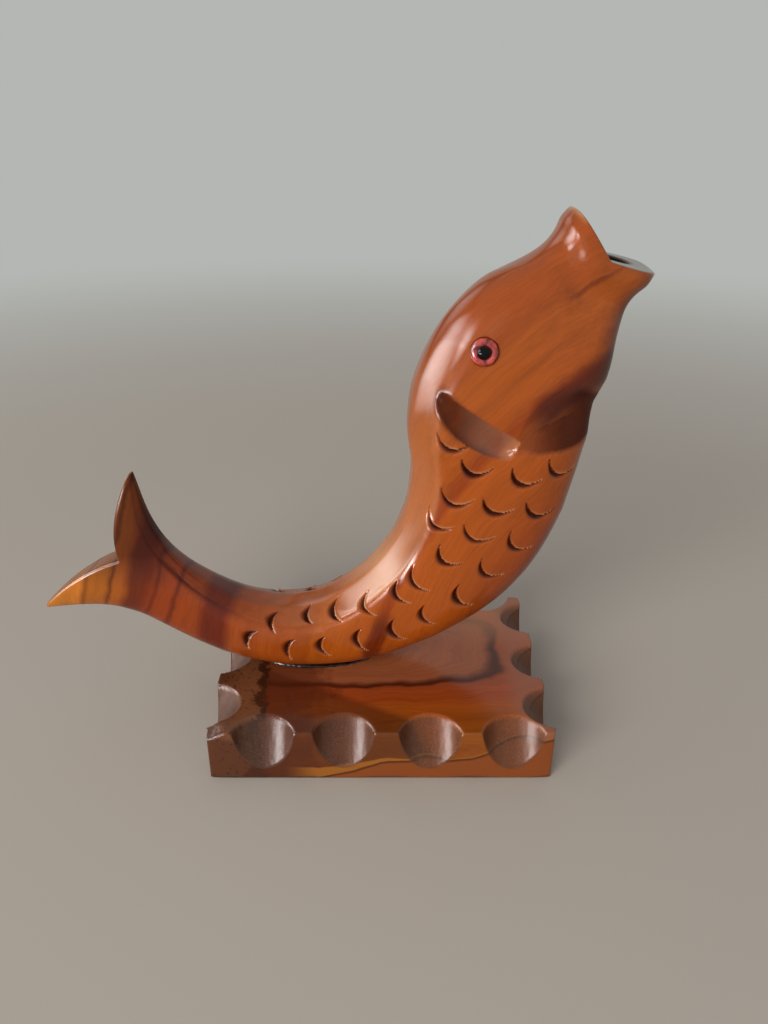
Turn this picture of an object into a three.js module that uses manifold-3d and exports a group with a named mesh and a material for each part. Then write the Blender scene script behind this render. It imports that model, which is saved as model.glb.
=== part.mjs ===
// A leaping fish carved from one piece of wood, glued and screwed to a gouge-edged wooden base.
// Millimetres, +Z up. The origin is the middle of the base's underside, the head is towards +X,
// and the fish's right side faces -Y.
import * as THREE from "three";
import { mergeVertices } from "three/addons/utils/BufferGeometryUtils.js";
import Module from "manifold-3d";

const wasm = await Module();
wasm.setup();

// Base block
const BASE_LENGTH = 84;
const BASE_WIDTH = 60;
const BASE_HEIGHT = 14;
const BASE_CORNER_CHAMFER = 1.5;

// Thumb-nail cuts of one round gouge, across the base's top edge on all four sides
const GOUGE_RADIUS = 8;
const GOUGE_REACH_TOP = 6.8;
const GOUGE_REACH_SIDE = 10.8;
const GOUGES_PER_LONG_SIDE = 4;
const GOUGES_PER_SHORT_SIDE = 3;

// The gap left between pieces that seat in or on each other
const FIT_GAP = 0.3;

// Fish: the reach of its spine from the base's middle back to the tail and forward to the lips, the
// height of the lips above the base's top, and half its depth and width at the gill
const TAIL_REACH = 75;
const LIP_REACH = 49.5;
const LIP_HEIGHT = 108;
const GILL_HALF_DEPTH = 22;
const GILL_HALF_WIDTH = 14;
const FISH_OFFSET_Y = 2.5;

// Sections that steer the smooth curves of the spine and the girth, in percent: the run from tail to
// lips, the height of the lips, and the depth and width at the gill. Each is a squared ellipse.
const SECTION_POWER = 2.8;
const SECTIONS = [
  { at: "tail tips", run: 0, height: 31.5, depth: 111.4, width: 21.4 },
  { at: "tail fan", run: 8, height: 25, depth: 59.1, width: 32.1 },
  { at: "tail root", run: 14.1, height: 20.4, depth: 43.2, width: 42.9 },
  { at: "wrist", run: 21.3, height: 14.4, depth: 38.6, width: 53.6 },
  { at: "vent", run: 29.7, height: 9.3, depth: 36.4, width: 64.3 },
  { at: "rear belly", run: 37.3, height: 7.4, depth: 36.4, width: 75 },
  { at: "belly", run: 46.2, height: 7.4, depth: 38.6, width: 82.1 },
  { at: "fore belly", run: 56.2, height: 11.1, depth: 47.7, width: 89.3 },
  { at: "bend", run: 65.9, height: 18.1, depth: 59.1, width: 92.9 },
  { at: "breast", run: 74.3, height: 27.3, depth: 72.7, width: 96.4 },
  { at: "flank", run: 79.9, height: 39.4, depth: 84.1, width: 100 },
  { at: "shoulder", run: 81.9, height: 52.3, depth: 88.6, width: 100 },
  { at: "gill", run: 81.5, height: 63, depth: 100, width: 100 },
  { at: "eye", run: 84.7, height: 74.5, depth: 93.2, width: 96.4 },
  { at: "cheek", run: 90, height: 83.3, depth: 84.1, width: 89.3 },
  { at: "neck of the lips", run: 94.4, height: 90.7, depth: 47.7, width: 75 },
  { at: "lips", run: 100, height: 100, depth: 52.3, width: 64.3 },
];
const RINGS_PER_SECTION = 3;
const RING_SIDES = 32;

// Tail fork and mouth, both cut straight across the fish
const FORK_DEPTH = 9.5;
const FORK_RISE = 2;
const FORK_CURVE_DEPTH = 2;
const FORK_CURVE_RISE = 8;
const MOUTH_DEPTH = 4.5;
const THROAT_DIAMETER = 8;
const THROAT_DEPTH = 14;
const THROAT_DROP = 1.5;

// Places on the skin: station counts sections from the tail, and rise is the share of the section's
// half depth, from -1 at the belly edge to 1 at the back edge.
const EYE_STATION = 13.1;
const EYE_RISE = 0.55;
const GILL_POINT = { station: 12, rise: -0.2 };
const GILL_BACK_END = { station: 12.3, rise: 0.77 };
const GILL_BELLY_END = { station: 12.8, rise: -0.73 };
const GILL_DEPTH = 1.8;
const GILL_BACK_FACET = 8;
const GILL_BELLY_FACET = 7;
const GILL_BELLY_BEVEL = 4;
const GILL_RUNOUT = 5;
const SCALE_ROWS = [
  { station: 4.5, rises: [0.15] },
  { station: 5.4, rises: [0.8, 0] },
  { station: 6.2, rises: [0.85, 0] },
  { station: 6.9, rises: [0.8, 0] },
  { station: 7.6, rises: [0.65, -0.2] },
  { station: 8.2, rises: [0.45, -0.2] },
  { station: 8.8, rises: [0.4, -0.35] },
  { station: 9.45, rises: [0.3, -0.35] },
  { station: 10, rises: [0.58, 0.08, -0.5] },
  { station: 10.6, rises: [0.48, 0, -0.55] },
  { station: 11.15, rises: [0.28, -0.24, -0.65] },
];
const SCALE_ROW_SLANT = 0.25;
const SCALE_RADIUS_TAIL = 3;
const SCALE_RADIUS_GILL = 4;
const SCALE_CUT_DEPTH = 1;
const SCALE_CUT_WIDTH = 1.7;
const SCALE_CUT_TILT = 20;
const SCALE_CUT_SIDES = 16;

// Eyes: a glass ring bead in a shallow socket, held by a round-headed pin
const BEAD_DIAMETER = 6;
const BEAD_THICKNESS = 2.4;
const BEAD_SINK = 1;
const PIN_SHANK_DIAMETER = 1.2;
const PIN_LENGTH = 8;
const PIN_HEAD_DIAMETER = 3;
const PIN_HEAD_HEIGHT = 1.1;

// Glue under the belly, with its squeezed-out rim
const SEAT_FLAT_DEPTH = 0.5;
const GLUE_FILM = 0.3;
const GLUE_RIM = 0.9;
const GLUE_LENGTH = 32;
const GLUE_WIDTH = 15;
const GLUE_FORWARD = 4;

// Countersunk wood screw from below
const SCREW_DIAMETER = 4;
const SCREW_BITE = 10;
const SCREW_TIP = 4;
const SCREW_HEAD_DIAMETER = 8;
const SCREW_HEAD_HEIGHT = 2.6;
const SCREW_HEAD_RIM = 0.4;
const SCREW_SINK = 0.6;
const SCREW_SLOT_WIDTH = 1.1;
const SCREW_SLOT_DEPTH = 1.2;

const ROUND_SIDES = 24;
// How far a cutter stands clear of the skin, as a multiple of the depth of its cut
const CUTTER_CLEAR = 2;
const Y_AXIS = new THREE.Vector3(0, 1, 0);
const Z_AXIS = new THREE.Vector3(0, 0, 1);
const NO_SCALING = new THREE.Vector3(1, 1, 1);

// A geometry as a solid, with its shared vertices merged and collapsed triangles dropped
function solid(geometry) {
  const bare = geometry.clone();
  bare.deleteAttribute("normal");
  bare.deleteAttribute("uv");
  const merged = mergeVertices(bare, 1e-4);
  const index = merged.index.array;
  const triangles = [];
  for (let i = 0; i < index.length; i += 3) {
    const corners = [index[i], index[i + 1], index[i + 2]];
    if (new Set(corners).size === 3) triangles.push(...corners);
  }
  return new wasm.Manifold(
    new wasm.Mesh({
      numProp: 3,
      vertProperties: merged.attributes.position.array,
      triVerts: new Uint32Array(triangles),
    }),
  );
}

// A finished piece, from a solid
function piece(name, body, material) {
  const made = body.getMesh();
  const geometry = new THREE.BufferGeometry();
  geometry.setAttribute("position", new THREE.BufferAttribute(made.vertProperties, 3));
  geometry.setIndex(new THREE.BufferAttribute(made.triVerts, 1));
  geometry.computeVertexNormals();
  const mesh = new THREE.Mesh(geometry, new THREE.MeshStandardMaterial(material));
  mesh.name = name;
  return mesh;
}

function cutAll(body, cutters) {
  return cutters.reduce((left, cutter) => left.subtract(cutter), body);
}

// A round bar of the given radius from one point to another
function bar(from, to, radius, sides = ROUND_SIDES) {
  const way = to.clone().sub(from);
  const geometry = new THREE.CylinderGeometry(radius, radius, way.length(), sides);
  const turn = new THREE.Quaternion().setFromUnitVectors(Y_AXIS, way.clone().normalize());
  const middle = from.clone().addScaledVector(way, 0.5);
  return geometry.applyMatrix4(new THREE.Matrix4().compose(middle, turn, NO_SCALING));
}

// A turned shape on a line through a point, from a profile of radius and height that runs upwards
function turned(profile, from, axis, sides = ROUND_SIDES) {
  const geometry = new THREE.LatheGeometry(profile, sides);
  const turn = new THREE.Quaternion().setFromUnitVectors(Y_AXIS, axis);
  return geometry.applyMatrix4(new THREE.Matrix4().compose(from, turn, NO_SCALING));
}

// An outline drawn in the plane of two axes at a point, thickened evenly to both sides of that plane
function slab(outline, origin, along, across, thickness) {
  const geometry = new THREE.ExtrudeGeometry(outline, { depth: thickness, bevelEnabled: false });
  geometry.translate(0, 0, -thickness / 2);
  const square = along.clone().cross(across);
  const frame = new THREE.Matrix4().makeBasis(along, across, square).setPosition(origin);
  return geometry.applyMatrix4(frame);
}

function points(list) {
  return list.map(([x, y]) => new THREE.Vector2(x, y));
}

// A curve of even curvature, a uniform cubic B-spline: it starts and ends on its first and last
// guide points and passes close by the others
class GuidedCurve extends THREE.Curve {
  constructor(guides) {
    super();
    const before = guides[0].clone().multiplyScalar(2).sub(guides[1]);
    const after = guides.at(-1).clone().multiplyScalar(2).sub(guides.at(-2));
    this.guides = [before, ...guides, after];
  }

  getPoint(share) {
    const spans = this.guides.length - 3;
    const span = Math.min(Math.floor(share * spans), spans - 1);
    const t = share * spans - span;
    const weights = [
      (1 - t) ** 3,
      3 * t ** 3 - 6 * t ** 2 + 4,
      -3 * t ** 3 + 3 * t ** 2 + 3 * t + 1,
      t ** 3,
    ];
    return weights.reduce(
      (sum, weight, i) => sum.addScaledVector(this.guides[span + i], weight / 6),
      new THREE.Vector3(),
    );
  }
}

const LAST_STATION = SECTIONS.length - 1;
const percent = (share, whole) => (share / 100) * whole;
const girth = new GuidedCurve(
  SECTIONS.map((s) => {
    const halfDepth = percent(s.depth, GILL_HALF_DEPTH);
    const halfWidth = percent(s.width, GILL_HALF_WIDTH);
    return new THREE.Vector3(halfDepth, halfWidth, 0);
  }),
);
const spineAt = (lift) =>
  new GuidedCurve(
    SECTIONS.map((s) => {
      const x = percent(s.run, TAIL_REACH + LIP_REACH) - TAIL_REACH;
      const z = percent(s.height, LIP_HEIGHT) + lift;
      return new THREE.Vector3(x, FISH_OFFSET_Y, z);
    }),
  );

// Spine frame at a station: along it towards the head, and across it towards the back
function spineFrame(spine, station) {
  const share = THREE.MathUtils.clamp(station / LAST_STATION, 0, 1);
  const along = spine.getTangent(share);
  const across = new THREE.Vector3(-along.z, 0, along.x);
  return { centre: spine.getPoint(share), along, across, size: girth.getPoint(share) };
}

// Point of a section's outline: angle 0 is the back edge, and the half turn is the belly edge
function skinAt(spine, station, angle, grow = 0) {
  const { centre, across, size } = spineFrame(spine, station);
  const squared = (value) => Math.sign(value) * Math.abs(value) ** (2 / SECTION_POWER);
  return centre
    .addScaledVector(across, (size.x + grow) * squared(Math.cos(angle)))
    .add(new THREE.Vector3(0, (size.y + grow) * squared(Math.sin(angle)), 0));
}

// The fish is set down on its seat: its lowest belly point is planed flat by SEAT_FLAT_DEPTH
const STEPS = LAST_STATION * RINGS_PER_SECTION;
const drawnSpine = spineAt(0);
const bellyEdge = Array.from({ length: STEPS + 1 }, (_, i) =>
  skinAt(drawnSpine, i / RINGS_PER_SECTION, Math.PI),
);
const lowest = bellyEdge.reduce((low, p) => (p.z < low.z ? p : low));
const SEAT_LEVEL = BASE_HEIGHT + GLUE_FILM + FIT_GAP;
const spine = spineAt(SEAT_LEVEL - SEAT_FLAT_DEPTH - lowest.z);
const seat = new THREE.Vector3(lowest.x, FISH_OFFSET_Y, SEAT_LEVEL);

// The uncarved fish: rings of skin points from tail to lips, closed flat at both ends
function fishBlank(grow) {
  const vertices = [];
  const faces = [];
  for (let i = 0; i <= STEPS; i++) {
    for (let j = 0; j < RING_SIDES; j++) {
      const angle = (2 * Math.PI * j) / RING_SIDES;
      vertices.push(...skinAt(spine, i / RINGS_PER_SECTION, angle, grow).toArray());
    }
  }
  for (let i = 0; i < STEPS; i++) {
    for (let j = 0; j < RING_SIDES; j++) {
      const a = i * RING_SIDES + j;
      const b = i * RING_SIDES + ((j + 1) % RING_SIDES);
      faces.push(a, a + RING_SIDES, b, b, a + RING_SIDES, b + RING_SIDES);
    }
  }
  const tailEnd = vertices.length / 3;
  vertices.push(...spineFrame(spine, 0).centre.toArray());
  vertices.push(...spineFrame(spine, LAST_STATION).centre.toArray());
  const lipRing = STEPS * RING_SIDES;
  for (let j = 0; j < RING_SIDES; j++) {
    const next = (j + 1) % RING_SIDES;
    faces.push(tailEnd, j, next, tailEnd + 1, lipRing + next, lipRing + j);
  }
  const geometry = new THREE.BufferGeometry();
  geometry.setAttribute("position", new THREE.Float32BufferAttribute(vertices, 3));
  geometry.setIndex(faces);
  return solid(geometry);
}

// Everything under a level, as a block wide enough for the whole fish
function blockUnder(level) {
  const side = 2 * spine.getLength();
  const block = new THREE.BoxGeometry(side, side, side);
  return solid(block.translate(0, 0, level - side / 2));
}

// A place on the fish's skin, with its outward, headward and sideways directions. Side is -1 for
// the fish's right and 1 for its left.
function skinPlace(station, rise, side) {
  const angle = side * Math.acos(Math.sign(rise) * Math.abs(rise) ** (SECTION_POWER / 2));
  const nudge = 0.01;
  const point = skinAt(spine, station, angle);
  const ahead = skinAt(spine, station + nudge, angle);
  const head = ahead.sub(skinAt(spine, station - nudge, angle)).normalize();
  const round = skinAt(spine, station, angle + nudge).sub(skinAt(spine, station, angle - nudge));
  const out = head.clone().cross(round).normalize();
  if (out.y * side < 0) out.negate();
  return { point, head, out, sideways: out.clone().cross(head) };
}

function tailFork() {
  const { centre, along, across, size } = spineFrame(spine, 0);
  const tip = size.x;
  const outline = new THREE.Shape();
  outline.moveTo(0, tip);
  outline.quadraticCurveTo(FORK_CURVE_DEPTH, FORK_CURVE_RISE, FORK_DEPTH, FORK_RISE);
  outline.quadraticCurveTo(FORK_CURVE_DEPTH, -FORK_CURVE_RISE, 0, -tip);
  outline.lineTo(-tip, -tip);
  outline.lineTo(-tip, tip);
  return solid(slab(outline, centre, along, across, 4 * size.y));
}

function mouthCut() {
  const { centre, along, across, size } = spineFrame(spine, LAST_STATION);
  const reach = 2 * size.x;
  const wedge = new THREE.Shape(points([[-MOUTH_DEPTH, 0], [MOUTH_DEPTH, -reach], [MOUTH_DEPTH, reach]]));
  const notch = solid(slab(wedge, centre, along, across, 4 * size.y));
  const bore = centre.clone().addScaledVector(across, -THROAT_DROP);
  const bottom = bore.clone().addScaledVector(along, -MOUTH_DEPTH - THROAT_DEPTH);
  return notch.add(solid(bar(bottom, bore, THROAT_DIAMETER / 2)));
}

// One side of the gill: a wedge along the skin from the gill's point to an end of it. The cut is
// deepest on that line, with a facet that runs out to the skin and a bevel or a step on the head side.
function gillWedge(end, side, facet, bevel) {
  const start = skinPlace(GILL_POINT.station, GILL_POINT.rise, side);
  const finish = skinPlace(end.station, end.rise, side);
  const line = finish.point.clone().sub(start.point);
  const length = line.length() + 2 * GILL_RUNOUT;
  line.normalize();
  const out = start.out.clone().addScaledVector(line, -start.out.dot(line)).normalize();
  const tailward = line.clone().cross(out);
  if (tailward.dot(start.head) > 0) tailward.negate();
  const spread = 1 + CUTTER_CLEAR;
  const top = GILL_DEPTH * CUTTER_CLEAR;
  const wedge = new THREE.Shape(points([[0, -GILL_DEPTH], [facet * spread, top], [-bevel * spread, top]]));
  const middle = start.point.clone().add(finish.point).multiplyScalar(0.5);
  return solid(slab(wedge, middle, tailward, out, length));
}

// One scale's cut: a ring of wedge section round the scale, tilted so that it bites only on the
// tail side, with a steep wall on the scale's edge and a slope beyond it
function scaleCut(station, rise, side, radius) {
  const { point, head, out, sideways } = skinPlace(station, rise, side);
  const tilt = THREE.MathUtils.degToRad(SCALE_CUT_TILT);
  const axis = out.clone().applyAxisAngle(sideways, -tilt);
  if (axis.dot(head) > 0) axis.copy(out).applyAxisAngle(sideways, tilt);
  const slope = CUTTER_CLEAR * SCALE_CUT_WIDTH;
  const top = CUTTER_CLEAR * SCALE_CUT_DEPTH + slope * Math.tan(tilt);
  const undercut = top * Math.tan(tilt);
  const ring = points([[radius, 0], [radius + slope, top], [radius - undercut, top], [radius, 0]]);
  const centre = point.clone().addScaledVector(out, radius * Math.sin(tilt) - SCALE_CUT_DEPTH);
  return solid(turned(ring, centre, axis, SCALE_CUT_SIDES));
}

function scaleCuts() {
  const first = SCALE_ROWS[0].station;
  const last = SCALE_ROWS[SCALE_ROWS.length - 1].station;
  const cuts = [];
  for (const { station, rises } of SCALE_ROWS) {
    const radius = THREE.MathUtils.mapLinear(station, first, last, SCALE_RADIUS_TAIL, SCALE_RADIUS_GILL);
    for (const rise of rises) {
      for (const side of [-1, 1]) cuts.push(scaleCut(station - SCALE_ROW_SLANT * rise, rise, side, radius));
    }
  }
  return cuts;
}

function eyeSocket(side) {
  const { point, out } = skinPlace(EYE_STATION, EYE_RISE, side);
  const clear = point.clone().addScaledVector(out, BEAD_THICKNESS);
  const floor = point.clone().addScaledVector(out, -BEAD_SINK - FIT_GAP);
  const pinTip = point.clone().addScaledVector(out, BEAD_THICKNESS - BEAD_SINK - PIN_LENGTH);
  const socket = solid(bar(floor, clear, BEAD_DIAMETER / 2 + FIT_GAP));
  return socket.add(solid(bar(pinTip, clear, PIN_SHANK_DIAMETER / 2 + FIT_GAP)));
}

function eyeBead(side) {
  const { point, out } = skinPlace(EYE_STATION, EYE_RISE, side);
  const outer = BEAD_DIAMETER / 2;
  const hole = PIN_SHANK_DIAMETER / 2 + FIT_GAP;
  const glass = new THREE.EllipseCurve((outer + hole) / 2, 0, (outer - hole) / 2, BEAD_THICKNESS / 2);
  const centre = point.clone().addScaledVector(out, BEAD_THICKNESS / 2 - BEAD_SINK);
  return solid(turned(glass.getPoints(ROUND_SIDES / 2), centre, out));
}

function eyePin(side) {
  const { point, out } = skinPlace(EYE_STATION, EYE_RISE, side);
  const shank = PIN_SHANK_DIAMETER / 2;
  const head = PIN_HEAD_DIAMETER / 2;
  const dome = new THREE.EllipseCurve(0, PIN_LENGTH, head, PIN_HEAD_HEIGHT, 0, Math.PI / 2);
  const profile = points([[0, 0], [shank, 2 * shank], [shank, PIN_LENGTH]]);
  const under = point.clone().addScaledVector(out, BEAD_THICKNESS - BEAD_SINK + FIT_GAP - PIN_LENGTH);
  return solid(turned([...profile, ...dome.getPoints(ROUND_SIDES / 4)], under, out));
}

// The screw's outline, widened by a gap where it is cut out of the wood
function screwShape(gap) {
  const length = SEAT_LEVEL + SCREW_BITE - SCREW_SINK;
  const shank = SCREW_DIAMETER / 2 + gap;
  const head = SCREW_HEAD_DIAMETER / 2 + gap;
  const bottom = gap > 0 ? -SCREW_SINK : 0;
  const profile = points([
    [0, bottom],
    [head, bottom],
    [head, SCREW_HEAD_RIM + gap],
    [shank, SCREW_HEAD_HEIGHT + gap],
    [shank, length - SCREW_TIP + gap],
    [0, length + gap],
  ]);
  return solid(turned(profile, new THREE.Vector3(seat.x, seat.y, SCREW_SINK), Z_AXIS));
}

function screw() {
  const slot = new THREE.BoxGeometry(2 * SCREW_HEAD_DIAMETER, SCREW_SLOT_WIDTH, 2 * SCREW_SLOT_DEPTH);
  return screwShape(0).subtract(solid(slot.translate(seat.x, seat.y, SCREW_SINK)));
}

function fish() {
  const cutters = [
    blockUnder(SEAT_LEVEL),
    tailFork(),
    mouthCut(),
    eyeSocket(-1),
    eyeSocket(1),
    screwShape(FIT_GAP),
    ...scaleCuts(),
  ];
  for (const side of [-1, 1]) {
    cutters.push(gillWedge(GILL_BACK_END, side, GILL_BACK_FACET, 0));
    cutters.push(gillWedge(GILL_BELLY_END, side, GILL_BELLY_FACET, GILL_BELLY_BEVEL));
  }
  return cutAll(fishBlank(0), cutters);
}

function glue() {
  const oval = new THREE.Shape();
  oval.absellipse(seat.x + GLUE_FORWARD, seat.y, GLUE_LENGTH / 2, GLUE_WIDTH / 2, 0, 2 * Math.PI);
  const pad = new THREE.ExtrudeGeometry(oval, {
    depth: GLUE_FILM + GLUE_RIM,
    bevelEnabled: false,
    curveSegments: ROUND_SIDES,
  });
  const belly = fishBlank(FIT_GAP).subtract(blockUnder(BASE_HEIGHT + GLUE_FILM));
  return cutAll(solid(pad.translate(0, 0, BASE_HEIGHT)), [belly, screwShape(FIT_GAP)]);
}

// One row of gouge cuts along a base edge. Outward points away from the base's middle.
function gougeRow(outward, edgeDistance, edgeLength, count) {
  const run = Z_AXIS.clone().cross(outward);
  const steepness = Math.atan2(GOUGE_REACH_SIDE, GOUGE_REACH_TOP);
  const down = outward.clone().applyAxisAngle(run, steepness);
  const off = Z_AXIS.clone().applyAxisAngle(run, steepness);
  const half = GOUGE_REACH_TOP + GOUGE_REACH_SIDE;
  return Array.from({ length: count }, (_, i) => {
    const middle = Z_AXIS.clone()
      .multiplyScalar(BASE_HEIGHT)
      .addScaledVector(outward, edgeDistance - GOUGE_REACH_TOP)
      .addScaledVector(run, ((i + 0.5) / count - 0.5) * edgeLength)
      .addScaledVector(off, GOUGE_RADIUS);
    const from = middle.clone().addScaledVector(down, -half);
    const to = middle.clone().addScaledVector(down, 2 * half);
    return solid(bar(from, to, GOUGE_RADIUS));
  });
}

function base() {
  const x = BASE_LENGTH / 2;
  const y = BASE_WIDTH / 2;
  const c = BASE_CORNER_CHAMFER;
  const corners = [
    [c - x, -y],
    [x - c, -y],
    [x, c - y],
    [x, y - c],
    [x - c, y],
    [c - x, y],
    [-x, y - c],
    [-x, c - y],
  ];
  const outline = new THREE.Shape(points(corners));
  const block = new THREE.ExtrudeGeometry(outline, { depth: BASE_HEIGHT, bevelEnabled: false });
  const cutters = [screwShape(FIT_GAP)];
  for (const sign of [-1, 1]) {
    cutters.push(...gougeRow(new THREE.Vector3(0, sign, 0), y, BASE_LENGTH, GOUGES_PER_LONG_SIDE));
    cutters.push(...gougeRow(new THREE.Vector3(sign, 0, 0), x, BASE_WIDTH, GOUGES_PER_SHORT_SIDE));
  }
  return cutAll(solid(block), cutters);
}

const FISH_WOOD = { color: 0xa85b2c, roughness: 0.3, metalness: 0 };
const BASE_WOOD = { color: 0x843f1e, roughness: 0.3, metalness: 0 };
const RED_GLASS = { color: 0xb8434a, roughness: 0.1, metalness: 0 };
const BLACK_ENAMEL = { color: 0x15110f, roughness: 0.2, metalness: 0 };
const STEEL = { color: 0x9a9a98, roughness: 0.35, metalness: 1 };
const GLUE = { color: 0x2a1510, roughness: 0.15, metalness: 0 };

const carving = new THREE.Group();
carving.add(
  piece("base_block", base(), BASE_WOOD),
  piece("fish_body", fish(), FISH_WOOD),
  piece("right_eye_bead", eyeBead(-1), RED_GLASS),
  piece("left_eye_bead", eyeBead(1), RED_GLASS),
  piece("right_eye_pin", eyePin(-1), BLACK_ENAMEL),
  piece("left_eye_pin", eyePin(1), BLACK_ENAMEL),
  piece("base_screw", screw(), STEEL),
  piece("glue_bead", glue(), GLUE),
);

export default carving;
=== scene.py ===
# %% [markdown]
# # A leaping fish, carved in wood
#
# This lesson dresses a imported CAD model of a small carving: a fish bent like a hook, glued and
# screwed to a block of wood whose top edges are scalloped with a gouge. The CAD solids fix every
# size and place. Here each piece gets the skin, the tool marks and the finish that the eye expects.
#
# The first cell loads the imported model as a fixed frame. Lengths are in millimetres until a mesh
# is made.

# %% Load the frame
import math

import bmesh
import bpy
import numpy as np
from mathutils import Matrix, Vector
from mathutils.kdtree import KDTree


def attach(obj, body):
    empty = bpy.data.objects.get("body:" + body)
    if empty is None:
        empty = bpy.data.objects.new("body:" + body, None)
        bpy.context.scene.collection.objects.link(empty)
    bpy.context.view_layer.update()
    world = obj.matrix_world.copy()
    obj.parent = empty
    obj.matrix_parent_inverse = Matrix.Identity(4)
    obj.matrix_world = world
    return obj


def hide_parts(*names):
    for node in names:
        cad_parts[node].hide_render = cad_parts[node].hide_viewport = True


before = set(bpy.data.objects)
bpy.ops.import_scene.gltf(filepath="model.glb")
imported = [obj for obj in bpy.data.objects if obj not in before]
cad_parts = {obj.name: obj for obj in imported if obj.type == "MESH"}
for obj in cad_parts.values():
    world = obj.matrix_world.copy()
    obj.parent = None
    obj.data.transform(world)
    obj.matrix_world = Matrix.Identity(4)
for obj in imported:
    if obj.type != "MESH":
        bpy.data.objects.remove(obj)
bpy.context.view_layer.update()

MM = 0.001  # Blender counts in metres
scene = bpy.context.scene
scene.view_settings.view_transform = "Standard"
print("CAD nodes:", ", ".join(sorted(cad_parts)))

# %% [markdown]
# ## The camera
#
# The picture was taken by hand from a little above the fish's right side. A camera can be placed by
# eye, or worked out from edges whose real size is known. The base's straight edges were used here:
# they give the height, the tilt and the field of view together, so the shapes line up everywhere.

# %% Place the camera
CAMERA_AT = (-1.27, -176.62, 145.30)
CAMERA_PITCH, CAMERA_YAW, CAMERA_ROLL = (math.radians(a) for a in (26.38, 0.61, 0.42))
CAMERA_LENS, SENSOR_WIDTH, NEAREST_SEEN = 28.125, 36, 5

ahead = Vector((math.sin(CAMERA_YAW) * math.cos(CAMERA_PITCH),
                math.cos(CAMERA_YAW) * math.cos(CAMERA_PITCH),
                -math.sin(CAMERA_PITCH)))
level = Vector((math.cos(CAMERA_YAW), -math.sin(CAMERA_YAW), 0))
upright = level.cross(ahead)
right = level * math.cos(CAMERA_ROLL) + upright * math.sin(CAMERA_ROLL)
above = upright * math.cos(CAMERA_ROLL) - level * math.sin(CAMERA_ROLL)

camera = bpy.data.objects.new("camera", bpy.data.cameras.new("camera"))
camera.data.lens, camera.data.sensor_width = CAMERA_LENS, SENSOR_WIDTH
camera.data.clip_start = NEAREST_SEEN * MM
camera.matrix_world = Matrix.Translation(Vector(CAMERA_AT) * MM) @ Matrix(
    (right, above, -ahead)).transposed().to_4x4()
scene.collection.objects.link(camera)
scene.camera = camera
print("camera height above the table: %.0f mm" % CAMERA_AT[2])

# %% [markdown]
# ## Small tools for materials
#
# Colours are picked as sRGB hex values, as in any paint program, but shaders work with linear
# light, so one function converts them. Another adds a node to a material, sets it up, links its
# inputs and hands on one of its outputs. With these, a material reads like a recipe.

# %% Colour and node helpers
def linear(hex_colour):
    """An sRGB hex colour such as "#a85b2c" as a linear RGBA tuple."""
    parts = (int(hex_colour[i:i + 2], 16) / 255 for i in (1, 3, 5))
    return (*(p / 12.92 if p <= 0.04045 else ((p + 0.055) / 1.055) ** 2.4 for p in parts), 1.0)


def add(material, kind, inputs=None, out=0, **settings):
    """Adds a node, sets its properties, fills its inputs with values or links, gives one output."""
    node = material.node_tree.nodes.new("ShaderNode" + kind)
    for name, value in settings.items():
        setattr(node, name, value)
    for name, value in (inputs or {}).items():
        if isinstance(value, bpy.types.NodeSocket):
            material.node_tree.links.new(value, node.inputs[name])
        else:
            node.inputs[name].default_value = value
    return node.outputs[out] if node.outputs else node


def new_material(name):
    """An empty node material, ready for a surface."""
    material = bpy.data.materials.new(name)
    material.use_nodes = True
    material.node_tree.nodes.clear()
    return material


print("sRGB middle grey is", round(linear("#808080")[0], 3), "in linear light")

# %% [markdown]
# ## Sums with nodes
#
# A pattern on a surface is a sum that is worked out at every point of it, and nodes do that too.
# Four kinds come up again and again: plain sums, a value graded from one range to another, cloudy
# noise, and a tone blended into a colour. Each gets a short function, so that the recipes below
# show the numbers that matter and not the names of sockets.

# %% Helpers for sums and patterns
def calc(material, operation, *values):
    """Plain maths on one, two or three values."""
    return add(material, "Math", dict(enumerate(values)), operation=operation)


def graded(material, value, start, stop, low=0.0, high=1.0, smooth=False):
    """Goes from low to high while a value goes from start to stop, evenly or with soft ends."""
    return add(material, "MapRange", {
        "Value": value, "From Min": start, "From Max": stop, "To Min": low, "To Max": high},
        interpolation_type="SMOOTHSTEP" if smooth else "LINEAR")


def noise(material, place, scale, detail=3.0, roughness=0.5):
    """Cloudy noise between 0 and 1, in clouds about 1 / scale wide."""
    return add(material, "TexNoise", {
        "Vector": place, "Scale": scale, "Detail": detail, "Roughness": roughness})


def blend(material, share, colour, tone):
    """Blends a share of a tone, given as hex, into a colour."""
    return add(material, "Mix", {"Factor": share, 6: colour, 7: linear(tone)}, out=2,
               data_type="RGBA")


print("helpers:", ", ".join(tool.__name__ for tool in (calc, graded, noise, blend)))

# %% [markdown]
# ## The floor
#
# The carving stands on a plain pale floor. A photographer would hang up a curved sheet of paper, so
# that no edge shows behind the object. Here a flat disc does the same: far from the carving it
# takes on the backdrop's plain tone, which needs no extra mesh and leaves the shadow as it is.

# %% Floor
FLOOR_COLOUR, BACKDROP_COLOUR = "#b9b2a8", "#b4b7b3"
FLOOR_RADIUS, FLOOR_DROP = 6000, 0.2
FADE_FROM, FADE_TO = 0.16, 0.8  # metres from the carving

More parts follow.
